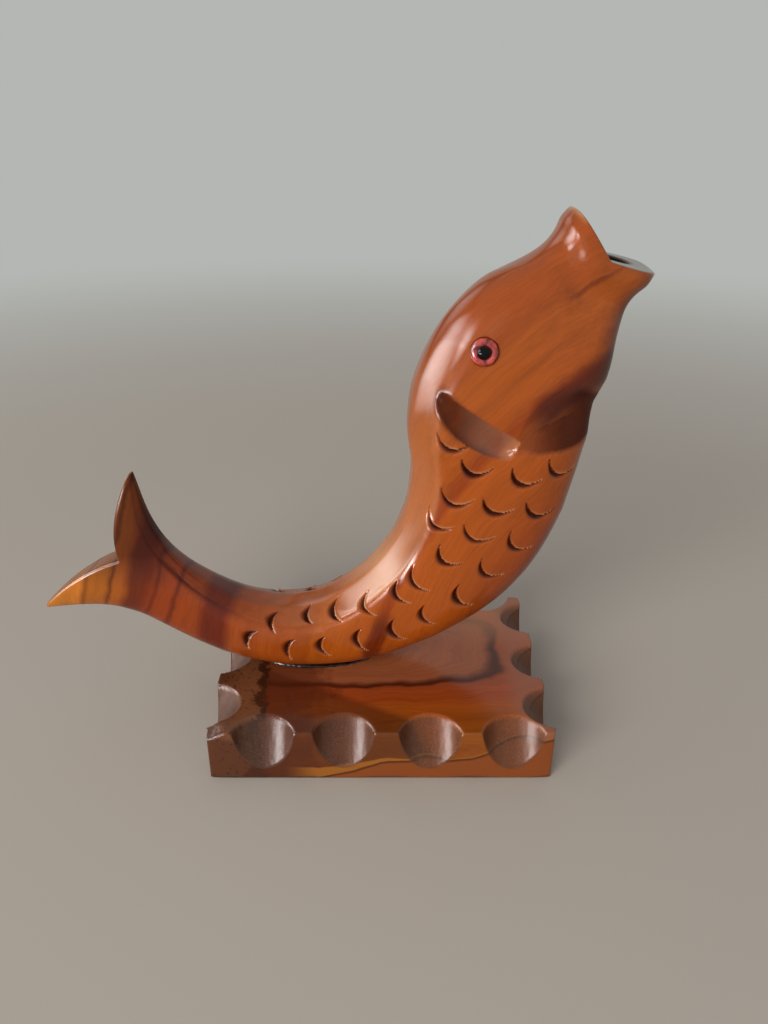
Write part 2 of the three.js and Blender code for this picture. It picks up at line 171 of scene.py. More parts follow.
# matt floor paint, rolled on: an even tone with a soft shadow, and no mirror image of the carving
floor_paint = new_material("pale_matt_floor_paint")
painted = add(floor_paint, "BsdfPrincipled", {
    "Base Color": linear(FLOOR_COLOUR), "Roughness": 0.8, "Specular IOR Level": 0.0})
haze = add(floor_paint, "Emission", {"Color": linear(BACKDROP_COLOUR), "Strength": 1.0})
away = add(floor_paint, "VectorMath", {0: add(floor_paint, "TexCoord", out="Object")},
           out="Value", operation="LENGTH")
fade = graded(floor_paint, away, FADE_FROM, FADE_TO, smooth=True)
mixed = add(floor_paint, "MixShader", {0: fade, 1: painted, 2: haze})
add(floor_paint, "OutputMaterial", {"Surface": mixed})

bpy.ops.mesh.primitive_circle_add(vertices=96, radius=FLOOR_RADIUS * MM, fill_type="NGON",
                                  location=(0, 0, -FLOOR_DROP * MM))
floor = bpy.context.object
floor.name = "floor"
floor.data.materials.append(floor_paint)
print("floor: %.0f m across" % (2 * FLOOR_RADIUS * MM))

# %% [markdown]
# ## The room and the main lamp
#
# A wide soft lamp stands in for daylight that comes from the fish's tail side. It grazes the flank,
# so every gouge cut shows one dark and one bright side. The room fills the shadows, and it is
# brighter on the window's side than on the other. The camera, gloss and glass see a plain backdrop
# instead of that room, and the lamp is hidden from the varnish, which gets its own panes of light.

# %% Room and soft box
ROOM_COLOUR, ROOM_LIGHT = "#f6f5f6", (0.68, 0.28)  # on the window's side and on the other
LAMP_COLOUR, LAMP_POWER = "#fffaf4", 14.3
LAMP_AT, LAMP_SIZE = Vector((-688, -1024, 508)), (896, 640)
CARVING_MIDDLE = Vector((0, 0, 60))

world = bpy.data.worlds.new("studio")
world.use_nodes = True
scene.world = world
world.node_tree.nodes.clear()
ray = add(world, "LightPath").node.outputs
seen = ray["Is Camera Ray"]
for kind in ("Is Glossy Ray", "Is Transmission Ray"):
    seen = calc(world, "MAXIMUM", seen, ray[kind])
backdrop = add(world, "Background", {"Color": linear(BACKDROP_COLOUR), "Strength": 1.0})
sideways = add(world, "SeparateXYZ", {0: add(world, "TexCoord", out="Generated")}, out="X")
room_light = graded(world, sideways, -1.0, 1.0, *ROOM_LIGHT)
room = add(world, "Background", {"Color": linear(ROOM_COLOUR), "Strength": room_light})
sky = add(world, "MixShader", {0: seen, 1: room, 2: backdrop})
add(world, "OutputWorld", {"Surface": sky})

soft_box = bpy.data.objects.new("soft_box", bpy.data.lights.new("soft_box", "AREA"))
soft_box.data.shape = "ELLIPSE"
soft_box.data.size, soft_box.data.size_y = (s * MM for s in LAMP_SIZE)
soft_box.data.energy, soft_box.data.color = LAMP_POWER, linear(LAMP_COLOUR)[:3]
soft_box.location = LAMP_AT * MM
soft_box.rotation_euler = (CARVING_MIDDLE - LAMP_AT).to_track_quat("-Z", "Y").to_euler()
soft_box.visible_glossy = False
scene.collection.objects.link(soft_box)
print("room light from %.2f down to %.2f, and one soft box" % ROOM_LIGHT)

# %% [markdown]
# ## Panes of light for the varnish
#
# Gloss varnish mirrors windows as soft streaks on the back and as small glints on the lip and the
# scallops. Lamps could do that, but they would light the wood too. These panes are seen by gloss
# alone, so streaks can be placed without changing a shadow. Each pane fades towards its edges,
# because a hard edge in a streak would look like a studio.

# %% Window panes
PANES = (  # name, place, half width and half height, strength
    ("back_window", (-398, 40, 150), (140, 230), 11.8),
    ("front_window", (-345, -225, 50), (230, 60), 33.0),
    ("pale_wall", (-243, 270, 270), (190, 150), 1.8),
    ("high_window", (-368, -126, 261), (110, 85), 16.0),
)
PANE_FADES = (("X", 1.0, 0.0), ("Y", -1.0, 0.2), ("Y", 1.0, 0.4))  # axis, where dark, where full

for name, place, half, strength in PANES:
    glow_paint = new_material(name + "_glow")
    across = add(glow_paint, "SeparateXYZ",
                 {0: add(glow_paint, "TexCoord", out="Object")}).node.outputs
    off_middle = calc(glow_paint, "ABSOLUTE", across["X"])
    glow = strength
    for axis, dark, full in PANE_FADES:
        value = off_middle if axis == "X" else across[axis]
        share = graded(glow_paint, value, dark, full, smooth=True)
        glow = calc(glow_paint, "MULTIPLY", share, glow)
    add(glow_paint, "OutputMaterial", {"Surface": add(glow_paint, "Emission", {"Strength": glow})})
    bpy.ops.mesh.primitive_plane_add(size=2, location=Vector(place) * MM)
    pane = bpy.context.object
    pane.name = name
    pane.rotation_euler = (CARVING_MIDDLE - Vector(place)).to_track_quat("Z", "Y").to_euler()
    pane.scale = (half[0] * MM, half[1] * MM, 1)
    pane.visible_diffuse = pane.visible_camera = pane.visible_shadow = False
    pane.data.materials.append(glow_paint)
print("panes:", ", ".join(row[0] for row in PANES))

# %% [markdown]
# ## The fish's spine
#
# The carver drew the fish's side view on a thick board, sawed it out and rounded it. The same idea
# drives the model: a curved spine in the board's plane, and a depth and a width that change along
# it. Seventeen sections from tail to lips, in percent of the main sizes, steer smooth cubic curves.
# A station is a place along the spine, counted in sections from the tail.

# %% Sections along the spine
SECTIONS = np.array([  # run, height, depth and width
    (0, 31.5, 111.4, 21.4),      # tail tips
    (8, 25, 59.1, 32.1),         # tail fan
    (14.1, 20.4, 43.2, 42.9),    # tail root
    (21.3, 14.4, 38.6, 53.6),    # wrist
    (29.7, 9.3, 36.4, 64.3),     # vent
    (37.3, 7.4, 36.4, 75),       # rear belly
    (46.2, 7.4, 38.6, 82.1),     # belly
    (56.2, 11.1, 47.7, 89.3),    # fore belly
    (65.9, 18.1, 59.1, 92.9),    # bend
    (74.3, 27.3, 72.7, 96.4),    # breast
    (79.9, 39.4, 84.1, 100),     # flank
    (81.9, 52.3, 88.6, 100),     # shoulder
    (81.5, 63, 100, 100),        # gill
    (84.7, 74.5, 93.2, 96.4),    # eye
    (90, 83.3, 84.1, 89.3),      # cheek
    (94.4, 90.7, 47.7, 75),      # neck of the lips
    (100, 100, 52.3, 64.3),      # lips
]) / 100
LAST = len(SECTIONS) - 1


def guided(column, station):
    """A smooth cubic curve steered by one column of the sections, at any stations."""
    v = SECTIONS[:, column]
    v = np.concatenate(([2 * v[0] - v[1]], v, [2 * v[-1] - v[-2]]))
    k = np.clip(np.floor(station).astype(int), 0, LAST - 1)
    t = station - k
    weights = ((1 - t) ** 3, 3 * t**3 - 6 * t**2 + 4, -3 * t**3 + 3 * t**2 + 3 * t + 1, t**3)
    return sum(w * v[k + i] for i, w in enumerate(weights)) / 6


print("sections:", len(SECTIONS))

# %% [markdown]
# ## From the spine to the skin
#
# A point of the skin is found in three steps: along the spine, up towards the back, and out to a
# flank. A loft of curves could do this too, but a function that takes whole arrays of points leaves
# every point at a known place, which the carving needs later. The fish is then lifted until its
# belly, planed flat by half a millimetre, stands on the glue.

# %% Points on the skin
TAIL_REACH, LIP_REACH, LIP_HEIGHT = 75.0, 49.5, 108.0
GILL_HALF_DEPTH, GILL_HALF_WIDTH = 22.0, 14.0
SIDE_STEP = 2.5  # the fish stands a little behind the base's middle line
SEAT_LEVEL, SEAT_FLAT_DEPTH = 14.6, 0.5
lift = 0.0


def spine(station):
    """Centre x and z, direction x and z, half depth and half width at the stations."""
    step = 0.005
    at = [np.clip(station + d, 0, LAST) for d in (-step, 0, step)]
    x = [guided(0, s) * (TAIL_REACH + LIP_REACH) - TAIL_REACH for s in at]
    z = [guided(1, s) * LIP_HEIGHT for s in at]
    length = np.hypot(x[2] - x[0], z[2] - z[0])
    return (x[1], z[1] + lift, (x[2] - x[0]) / length, (z[2] - z[0]) / length,
            guided(2, at[1]) * GILL_HALF_DEPTH, guided(3, at[1]) * GILL_HALF_WIDTH)


def skin(station, rise, wide):
    """Points in millimetres: rise is the share of the half depth, wide that of the half width."""
    x, z, along_x, along_z, deep, broad = spine(station)
    return np.stack([x - along_z * deep * rise, SIDE_STEP + broad * wide + 0 * x,
                     z + along_x * deep * rise], axis=-1)


belly_line = skin(np.linspace(0, LAST, 800), -1.0, 0.0)
lift = SEAT_LEVEL - SEAT_FLAT_DEPTH - belly_line[:, 2].min()
seat_x = belly_line[belly_line[:, 2].argmin(), 0]
print("the belly rests at x = %.1f mm, and the fish is lifted by %.2f mm" % (seat_x, lift))

# %% [markdown]
# ## The shape of a slice
#
# Cut across, the fish is a rounded square: flat flanks, a round belly and a bevel along each side
# of the back, where a spokeshave took the corner off. A squared ellipse gives the flanks and the
# belly, and a straight cut blended into it gives the bevel. Points are spread evenly along the
# outline, so that the carving below has fine and even mesh to work on.

# %% Outline of a slice
ROUND = 336  # points round a slice
SECTION_POWER, SLICE_ASPECT = 2.8, 1.45
BEVEL_TILT = math.radians(27.7)
BEVEL = np.array([  # station, how far out the cut lies, and how soft its edges are
    (0, 1.1, 0.014), (3.6, 1.07, 0.014), (7, 1.0, 0.014), (10, 1.02, 0.014), (12, 1.03, 0.016),
    (12.6, 1.035, 0.03), (13.1, 1.05, 0.05), (13.7, 1.09, 0.07), (15.2, 1.13, 0.05),
])
USUAL_BEVEL, MIDDLE_STATION = (1.02, 0.016), 8.0


def slice_radius(angle, bevel_reach, softness):
    """Reach of the outline at an angle from the back, in shares of the half depth and width."""
    up, out = np.cos(angle), np.abs(np.sin(angle))
    squared = (np.abs(up) ** SECTION_POWER + out**SECTION_POWER) ** (-1 / SECTION_POWER)
    bevel = bevel_reach / np.maximum(up * math.cos(BEVEL_TILT) + out * math.sin(BEVEL_TILT), 0.3)
    lower = np.minimum(squared, bevel)
    spare = np.exp((lower - squared) / softness) + np.exp((lower - bevel) / softness)
    return lower - softness * np.log(spare)


def even_quarter(start, stop):
    """Angles that divide a quarter of the outline into equal lengths."""
    fine = np.linspace(start, stop, 4000)
    reach = slice_radius(fine, *USUAL_BEVEL)
    steps = np.hypot(np.diff(reach * np.cos(fine)) * SLICE_ASPECT, np.diff(reach * np.sin(fine)))
    run = np.concatenate(([0], np.cumsum(steps)))
    return np.interp(np.linspace(0, run[-1], ROUND // 4 + 1)[:-1], run, fine)


half_turn = np.concatenate((even_quarter(0, math.pi / 2), even_quarter(math.pi / 2, math.pi)))
ANGLES = np.concatenate((half_turn, [math.pi], 2 * math.pi - half_turn[:0:-1]))


def slice_at(station):
    """Rise and wide of every point round the slices at the stations."""
    reach = slice_radius(ANGLES, *(np.interp(station, BEVEL[:, 0], BEVEL[:, k]) for k in (1, 2)))
    return reach * np.cos(ANGLES), reach * np.sin(ANGLES)


RISE, WIDE = slice_at(np.full(ROUND, MIDDLE_STATION))
print("points round a slice:", len(ANGLES))

# %% [markdown]
# ## Sawn ends: the forked tail and the open mouth
#
# Both ends are saw cuts that run straight across the board. The fork is two hollow curves that meet
# in a notch, and the mouth is a straight V whose lower lip is twisted a little. The cuts are
# written down as depths along the spine, so that they can steer the mesh instead of chopping it.

# %% Curves of the sawn ends
FORK_NOTCH, FORK_HOLLOW = (9.5, 2.0), (2.0, 8.0)
MOUTH_DEPTH, LOWER_LIP_TWIST = 4.5, 0.07
BLUNT_TAIL, BLUNT_LIP = (2.6, 1.5), (2.4, 0.35)  # how far in the wear starts, and how much goes


def unit(value):
    """A value held between 0 and 1."""
    return np.clip(value, 0, 1)


def end_frame(station):
    """Centre, direction along and across the spine, and half depth, at an end of the fish."""
    x, z, along_x, along_z, deep, _ = (float(v) for v in spine(np.array(float(station))))
    return np.array((x, z)), np.array((along_x, along_z)), np.array((-along_z, along_x)), deep


tail_at, tail_along, tail_across, tail_tip = end_frame(0)
lips_at, lips_along, lips_across, lip_tip = end_frame(LAST)

t = np.linspace(0, 1, 200)[:, None]
upper_hollow = (1 - t) ** 2 * (0, tail_tip) + 2 * t * (1 - t) * FORK_HOLLOW + t**2 * FORK_NOTCH
lower_hollow = ((1 - t) ** 2 * FORK_NOTCH + 2 * t * (1 - t) * (FORK_HOLLOW[0], -FORK_HOLLOW[1])
                + t**2 * (0, -tail_tip))
fork = np.concatenate((lower_hollow[::-1], upper_hollow[::-1]))


def blunt(across, tip, wear):
    """What is worn off towards a tip: nothing until the last few millimetres, then more."""
    return wear[1] * unit((np.abs(across) - tip) / wear[0] + 1) ** 2


def fork_depth(across):
    """Depth of the fork, measured along the spine from the tips of the tail."""
    return np.interp(across, fork[:, 1], fork[:, 0]) + blunt(across, tail_tip, BLUNT_TAIL)


def mouth_depth(across, y):
    """Where the mouth's V lies along the spine, below zero because it goes into the head."""
    straight = -MOUTH_DEPTH * (1 - np.minimum(np.abs(across) / lip_tip, 1))
    twist = np.where(across < 0, LOWER_LIP_TWIST * (y - SIDE_STEP) * -across / lip_tip, 0)
    return straight + twist - blunt(across, lip_tip, BLUNT_LIP)


print("the tail is %.0f mm across its tips, the mouth %.0f mm" % (2 * tail_tip, 2 * lip_tip))

# %% [markdown]
# ## Rows from the fork to the mouth
#
# A boolean cut would leave ragged triangles along the thin rims. So the rows of points are slid
# along the fish instead, until the first row lies on the fork and the last row lies on the V. The
# rows are closest together where the scales will be cut.

# %% Rows of skin points
ROW_SPACING = ((0, 0.6), (3.8, 0.6), (4.2, 0.33), (11.9, 0.33), (13.4, 0.42), (16, 0.42))
TAIL_SLIDE, HEAD_SLIDE = 3.5, 2.0  # how many stations from each end the rows are slid
FORK_WITHIN, MOUTH_WITHIN = (0, 2.5), (14.3, LAST)


def from_table(value, table):
    """Reads a table of value and result pairs, and blends between its rows."""
    return np.interp(value, *zip(*table))


def end_stations(within, beyond):
    """The station of each line of points at which it passes the cut, found by halving."""
    low, high = (np.full(ROUND, float(end)) for end in within)
    for _ in range(40):
        middle = (low + high) / 2
        past = beyond(skin(middle, *slice_at(middle)))
        low, high = np.where(past, low, middle), np.where(past, middle, high)
    return (low + high) / 2


def past_fork(p):
    """Whether points lie on the fish's side of the fork."""
    away = p[:, ::2] - tail_at
    return away @ tail_along > fork_depth(away @ tail_across)


def past_mouth(p):
    """Whether points lie beyond the mouth's V."""
    away = p[:, ::2] - lips_at
    return away @ lips_along > mouth_depth(away @ lips_across, p[:, 1])


first, last = end_stations(FORK_WITHIN, past_fork), end_stations(MOUTH_WITHIN, past_mouth)
fine = np.linspace(0, LAST, 4000)
pace = np.hypot(*np.gradient(skin(fine, 0.0, 0.0)[:, ::2], fine, axis=0).T)
counted = np.cumsum(pace / from_table(fine, ROW_SPACING))[:-1]
count = np.concatenate(([0], counted)) * (fine[1] - fine[0])
rows = np.interp(np.linspace(0, count[-1], int(count[-1])), count, fine)[:, None]
stations = (rows + first * unit(1 - rows / TAIL_SLIDE) ** 2
            + (last - LAST) * unit((rows - LAST) / HEAD_SLIDE + 1) ** 2)
body = skin(stations, *slice_at(stations))
print("rows:", len(rows), "skin points:", body.shape[0] * body.shape[1])

# %% [markdown]
# ## Measuring from a drawn line
#
# Behind the head the carver drew the edges of two cuts on each flank before cutting. The drawn
# lines are short lists of points in the side view. To carve along them, every skin point needs to
# know how far it is from a line and on which side it lies, so one function measures that for all
# points.

# %% Distance from a drawn line
def from_line(line, x, z):
    """Distance to a line of points, the side it lies on, and the line's other columns there."""
    nearest = np.full(x.shape, 1e9)
    headward = np.zeros(x.shape, dtype=bool)
    others = np.zeros(x.shape + (line.shape[1] - 2,))
    for a, b in zip(line[:-1], line[1:]):
        run = b[:2] - a[:2]
        share = unit(((x - a[0]) * run[0] + (z - a[1]) * run[1]) / (run @ run))
        off_x, off_z = x - a[0] - share * run[0], z - a[1] - share * run[1]
        closer = np.hypot(off_x, off_z) < nearest
        nearest = np.where(closer, np.hypot(off_x, off_z), nearest)
        headward = np.where(closer, run[0] * off_z - run[1] * off_x > 0, headward)
        others[closer] = (a[2:] + share[..., None] * (b[2:] - a[2:]))[closer]
    return nearest, headward, others


body_x, body_z = body[..., 0], body[..., 2]
print("side view of the fish: %.0f x %.0f mm" % (np.ptp(body_x), np.ptp(body_z)))

# %% [markdown]
# ## Carving the gill
#
# The cut towards the back is a leaf-shaped hollow, scooped out with a flat gouge. The one towards
# the belly is a valley with a bevel on both sides, and a sharp ridge is left where the two meet.
# Each skin point gets a depth from its distance to the edges of the cut, so the facets stay smooth
# and the edges crisp, which a sculpting brush would not give.

# %% Depth of the gill cuts
LEAF_TOP = np.array([(12.6, 91.2), (14.3, 91.0), (17.1, 89.3), (22.8, 85.8), (27.8, 82.8),
                     (30.9, 80.6)])
LEAF_LOW = np.array([(12.6, 91.2), (11.9, 89.6), (12.0, 87.4), (13.7, 84.0), (16.1, 81.3),
                     (19.5, 79.0), (22.9, 77.3), (26.3, 76.3), (28.3, 76.4), (29.9, 78.0),
                     (30.9, 80.6)])
LEAF_DEPTH, LEAF_SKEW, LEAF_FULL = 1.7, (1.5, 0.7), 6
VALLEY = np.array([  # x and z, depth, width towards the tail, width towards the head
    (30.6, 80.9, 0.6, 4.2, 1.2),
    (33.2, 82.2, 1.3, 6.2, 4.0),
    (36.6, 83.8, 1.9, 7.4, 6.2),
    (40.3, 85.2, 2.1, 8.4, 7.4),
    (44.0, 86.2, 1.9, 8.8, 7.8),
    (48.5, 87.0, 1.1, 8.0, 6.5),
    (54.0, 87.6, 0.5, 6.0, 4.0),
])
BACK_RUNOUT = 1.35, 0.9  # the cuts run out before they reach the back

to_top, above_top, _ = from_line(LEAF_TOP, body_x, body_z)
to_low, above_low, _ = from_line(LEAF_LOW, body_x, body_z)
share = to_top / np.maximum(to_top + to_low, 1e-6)
deepest = LEAF_SKEW[0] / sum(LEAF_SKEW)
hollow, full = (s ** LEAF_SKEW[0] * (1 - s) ** LEAF_SKEW[1] for s in (share, deepest))
leaf = LEAF_DEPTH * hollow / full * unit((to_top + to_low) / LEAF_FULL) * (~above_top & above_low)

to_floor, headward, drawn = from_line(VALLEY, body_x, body_z)
valley = drawn[..., 0] * unit(1 - to_floor / np.where(headward, drawn[..., 2], drawn[..., 1]))
carved = np.maximum(leaf, valley) * unit(BACK_RUNOUT[0] - np.maximum(RISE, 0) * BACK_RUNOUT[1])
print("deepest gill cut: %.2f mm" % carved.max())

# %% [markdown]
# ## Planning the scales
#
# Each scale is one push of a small gouge. The crescents follow loose rows and grow towards the
# gill. An array modifier would repeat one scale exactly, but no two strokes of a hand are the same.
# So each gets a slightly different size, depth and turn from a seeded generator, which gives the
# same fish at every run.

# %% Sizes of the scales
SCALES = (  # station and rise of each scale, as laid out on the right flank
    (11.73, 0.55), (11.31, 0.28), (11.15, -0.28), (11.31, -0.69), (10.58, 0.48), (10.56, -0.03),
    (10.61, -0.57), (9.95, 0.60), (9.99, 0.09), (10.04, -0.49), (9.36, 0.28), (9.49, -0.35),
    (8.59, 0.42), (8.88, -0.34), (8.15, 0.45), (8.23, -0.23), (7.45, 0.65), (7.64, -0.20),
    (6.72, 0.79), (6.98, -0.06), (6.01, 0.84), (6.23, 0.01), (5.03, 0.77), (5.47, -0.01),
    (4.44, 0.12),
)
SMALL_TO_LARGE = 4.4, 11.3  # the stations between which they grow
SCALE_SIZES = ((3.0, 4.3), (1.3, 3.3), (2.2, 1.7))  # half chord, bow and width, small and large
SIZE_SPREAD = 0.08, 0.1, 0.12
SCALE_TURN, TURN_SPREAD = (4, 16), 7
SCALE_DEPTH, DEPTH_SPREAD = 1.25, 0.15

chisel = np.random.default_rng(25)


def scale_size(station):
    """Half chord, bow, width, turn and depth of one scale."""
    grown = np.interp(station, SMALL_TO_LARGE, (0, 1))
    vary = chisel.uniform(-1, 1, 4)
    sizes = [np.interp(grown, (0, 1), size) * (1 + spread * by)
             for size, spread, by in zip(SCALE_SIZES, SIZE_SPREAD, vary)]
    turn = np.interp(grown, (0, 1), SCALE_TURN) + TURN_SPREAD * vary[3]
    return *sizes, math.radians(turn), SCALE_DEPTH * (1 + DEPTH_SPREAD * vary[2])


print("scales on each flank:", len(SCALES))

# %% [markdown]
# ## Carving the scales
#
# A gouge stroke leaves a steep stop on the scale's own edge, a crescent of wood taken out behind
# it, and a slope that runs out towards the tail. It also pushes up a small burr along the scale's
# edge, which catches the light. All of it is written as depths on the skin points near each scale,
# and the burr also gets a pale painted glint, which fades out along the scale.

# %% Depth of the scale cuts
STOP_WALL, SCALE_LEAN, SCALE_ROUND, SLOPE_POWER = 0.25, 0.35, 0.72, 1.2
# how much pale painted glint the burr gets, and how it fades out along the scale
BURR_HEIGHT, BURR_WIDTH, BURR_GLINT = 0.2, 0.3, (0.45, 0.7)
SCALE_REACH, SAME_SIDE = 9, 0.2


def outward(points):
    """Unit normals of a grid of skin points that closes on itself across the rows."""
    wrapped = np.concatenate((points[:, -1:], points, points[:, :1]), axis=1)
    normal = np.cross(np.gradient(points, axis=0), np.gradient(wrapped, axis=1)[:, 1:-1])
    return normal / np.maximum(np.linalg.norm(normal, axis=-1, keepdims=True), 1e-9)


normals = outward(body)
chipped, raised, burr_glints = (np.zeros_like(carved) for _ in range(3))
for side in (-1, 1):
    flank = np.nonzero(WIDE * side > 0.05)[0]
    for station, rise in SCALES:
        chord, bow, width, turn, depth = scale_size(station)
        j = flank[np.abs(RISE[flank] - rise).argmin()]
        i = np.abs(stations[:, j] - station).argmin()
        place, out = body[i, j], normals[i, j]
        head = body[i + 1, j] - body[i - 1, j]
        head /= np.linalg.norm(head)
        backward = np.cross(out, head) * -side
        near = np.nonzero((np.linalg.norm(body - place, axis=-1) < SCALE_REACH)
                          & (normals @ out > SAME_SIDE))
        u, v = (body[near] - place) @ head, (body[near] - place) @ backward
        u, v = (u * math.cos(turn) - v * math.sin(turn), u * math.sin(turn) + v * math.cos(turn))
        bulge = unit(1 - (v / chord) ** 2) ** SCALE_ROUND
        edge = bow / 2 - bow * bulge
        runout = bow / 2 - (bow + width * (1 + SCALE_LEAN * v / chord)) * bulge
        slope = unit((u - runout) / np.maximum(edge - runout, 0.05))
        wall = unit(1 - (u - edge) / STOP_WALL)
        cut = depth * np.sqrt(bulge) * np.minimum(slope**SLOPE_POWER, wall)
        burr = np.exp(-(((u - edge) / BURR_WIDTH - 1) ** 2)) * np.minimum(bulge * 3, 1)
        # a pale painted glint along the burr, kept apart from its height
        shine = burr * unit(BURR_GLINT[0] - BURR_GLINT[1] * v / chord)
        for marks, mark in ((chipped, cut), (raised, BURR_HEIGHT * burr), (burr_glints, shine)):
            marks[near] = np.maximum(marks[near], mark)
carved = np.maximum(carved, chipped) - raised
print("deepest scale cut: %.2f mm" % chipped.max())

# %% [markdown]
# ## The skin after sanding
#
# The depths are now taken off along the normals. Sanding by hand leaves a slow waviness of a tenth
# of a millimetre, which shows as a gentle wobble in the highlights. The lips are rolled outwards
# with a hollow behind them, and the belly is planed flat where it stands on the base.

# %% Sanded skin
WAVE_COUNT, WAVE_LENGTH, WAVE_HEIGHT = 14, (10, 28), 0.035
STILL_ENDS = 1.5  # stations over which the waviness dies out towards both ends
LIP_ROLL, LIP_HOLLOW = (0.45, 2.8, 1.9), (0.75, 8.2, 3.2)  # height, distance from the rim, width
HOLLOW_SHARES = 0.3, 1.2  # of the hollow on the back, and what the flanks have more

waves = chisel.normal(size=(WAVE_COUNT, 3))
waves *= (2 * math.pi / chisel.uniform(*WAVE_LENGTH, (WAVE_COUNT, 1))
          / np.linalg.norm(waves, axis=1, keepdims=True))
phases = chisel.uniform(0, 2 * math.pi, WAVE_COUNT)
waviness = np.abs(WAVE_HEIGHT * np.sin(body @ waves.T + phases).sum(-1))
waviness *= unit(np.minimum(rows, LAST - rows) / STILL_ENDS)

steps = np.linalg.norm(np.diff(body, axis=0), axis=-1)
to_rim = np.concatenate((np.cumsum(steps[::-1], axis=0)[::-1], np.zeros((1, ROUND))))
rolled, hollowed = (high * np.exp(-((to_rim - far) / wide) ** 2)
                    for high, far, wide in (LIP_ROLL, LIP_HOLLOW))
hollowed *= HOLLOW_SHARES[0] + HOLLOW_SHARES[1] * np.abs(WIDE) ** 2
fish_skin = body - normals * (carved + waviness + hollowed - rolled)[..., None]
fish_skin[..., 2] = np.maximum(fish_skin[..., 2], SEAT_LEVEL)
print("waviness: up to %.2f mm" % waviness.max())

# %% [markdown]
# ## Where the stain and the painted shade gather
#
# Stain soaks into cut wood, so the gill and the scale cuts are dark, and part of their darkness is
# painted shade. The throat and the underside of the head get painted shade alone, because they
# turn away from the light. The tail's upper lobe and the edge of its back were left darker by the
# stain. This could be painted by hand. Here the depths of the cuts are at hand for every point, so
# they give the stain and the painted shade as well: 0 is clean wood, 1 is darkest.

# %% Stain and painted shade on the skin points
# in the gill's valley: stain, and painted shade that is darkest where the head side turns under
HEAD_VALLEY = ((32, 0.15), (40, 0.5), (45, 0.85))  # stain by x
TAIL_VALLEY = ((31, 0.4), (34, 0.5), (37, 0.72), (41, 0.85))
STAINED = 0.3  # stain that shows
BACK_EDGE = (  # station and rise of the edge along the back
    (0, 1.0), (0.7, 0.82), (1.4, 0.76), (3.6, 0.74), (6, 0.68), (8, 0.63), (13, 0.66), (14, 0.8))
# the throat's numbers are painted shade on the underside of the head, by station
THROAT_SHADE = ((12.2, 0), (13, 0.5), (15, 0.5), (16, 0.4))  # stain by station
# the scale cuts get stain and painted shade together
SCALE_STAIN_AND_SHADE, BACK_STAIN, EDGE_STAIN, LOBE_STAIN, EDGE_WIDTH = 0.9, 0.2, 0.75, 0.66, 0.1


def faded(strength, *steps):
    """A strength that fades in with each step, while a value goes from start to stop."""
    for value, start, stop in steps:
        strength = strength * unit((value - start) / (stop - start))
    return strength


risen = slice_at(stations)[0]
past_edge = risen - from_table(stations, BACK_EDGE)
on_edge = EDGE_STAIN * np.exp(-((past_edge / EDGE_WIDTH) ** 2))
stain_and_painted_light = np.max((
    np.where(headward, faded(from_table(body_x, HEAD_VALLEY), (valley, 0, 0.7)),
             faded(from_table(body_x, TAIL_VALLEY), (valley, 0, 0.35))),
    faded(SCALE_STAIN_AND_SHADE, (chipped, 0.1, 0.6)),
    faded(BACK_STAIN, (past_edge, 0, 0.06), (stations, 5.8, 3.3)),
    faded(on_edge, (stations, 4.5, 2.5)),
    faded(LOBE_STAIN, (body_z, 37, 46), (body_x, -50, -56)),
    faded(from_table(stations, THROAT_SHADE), (risen, -0.5, -0.9)),
), axis=0)
print("stained points: %.0f percent" % (100 * (stain_and_painted_light > STAINED).mean()))

# %% [markdown]
# ## Painted shade and sheen in the leaf cut
#
# The leaf-shaped hollow behind the cheek gets painted shade, darkest at its upper corner, and a
# pale painted sheen at its far end. The stain crept a little over the rim at that corner. To get
# such a soft border, the mask of the hollow is blurred: each point takes the average of its
# neighbours, a few times over.

# %% Painted shade and sheen of the leaf, and stain on its rim
# painted shade at the hollow's upper corner, turning into a pale painted sheen at its far end, by x
LEAF_SHADE_AND_SHEEN = ((13, 0.8), (18, 0.72), (23, 0.4), (27, -0.1), (30, -0.3))  # stain by x
LEAF_RIM, RIM_BLUR, RIM_GAIN = ((13.5, 0.75), (18, 0)), 6, 2.2
IN_LEAF, FAINT = 0.05, 0.02

in_leaf = leaf > IN_LEAF
stain_and_painted_light = np.where(in_leaf, faded(from_table(body_x, LEAF_SHADE_AND_SHEEN), (leaf, 0, 0.2)), stain_and_painted_light)
leaf_rim = in_leaf * 1.0
for _ in range(RIM_BLUR):
    leaf_rim = sum(np.roll(leaf_rim, step, axis) for step in (-1, 1) for axis in (0, 1)) / 4
rim_stain = unit(RIM_GAIN * leaf_rim) * from_table(body_x, LEAF_RIM)
stain_and_painted_light = np.where(rim_stain > FAINT, np.maximum(stain_and_painted_light, rim_stain), stain_and_painted_light)
print("stained points with the leaf: %.0f percent" % (100 * (stain_and_painted_light > STAINED).mean()))

# %% [markdown]
# ## Pale wear and painted sheen
#
# Fingers wore the stain off the tips of the lips. The burrs of the scales get a pale painted glint,
# and the back a pale painted sheen, strongest as a painted highlight at the bend. Pale wood and
# painted sheen are kept in the same number as the stain, below zero, because a point never has
# both. The floor of the leaf cut gets a grey painted sheen, which is a number of its own.

# %% Worn lips and painted sheen
# painted sheen on the back, by station, with a painted highlight at the bend
BACK_SHEEN = ((2, 0), (3.2, 0.15), (6.8, 0.1), (8, 0.65), (9, 0.3), (12, 0.15), (13, 0))
# grey painted sheen on the floor of the leaf cut, by x
LEAF_GREY_SHEEN = ((16, 0), (22, 0.22), (28, 0.22), (30.5, 0.11))
LIP_RUB, LIP_RUB_WIDTH, UNCUT, STAIN_LEFT = 0.7, 0.8, 0.2, 0.3

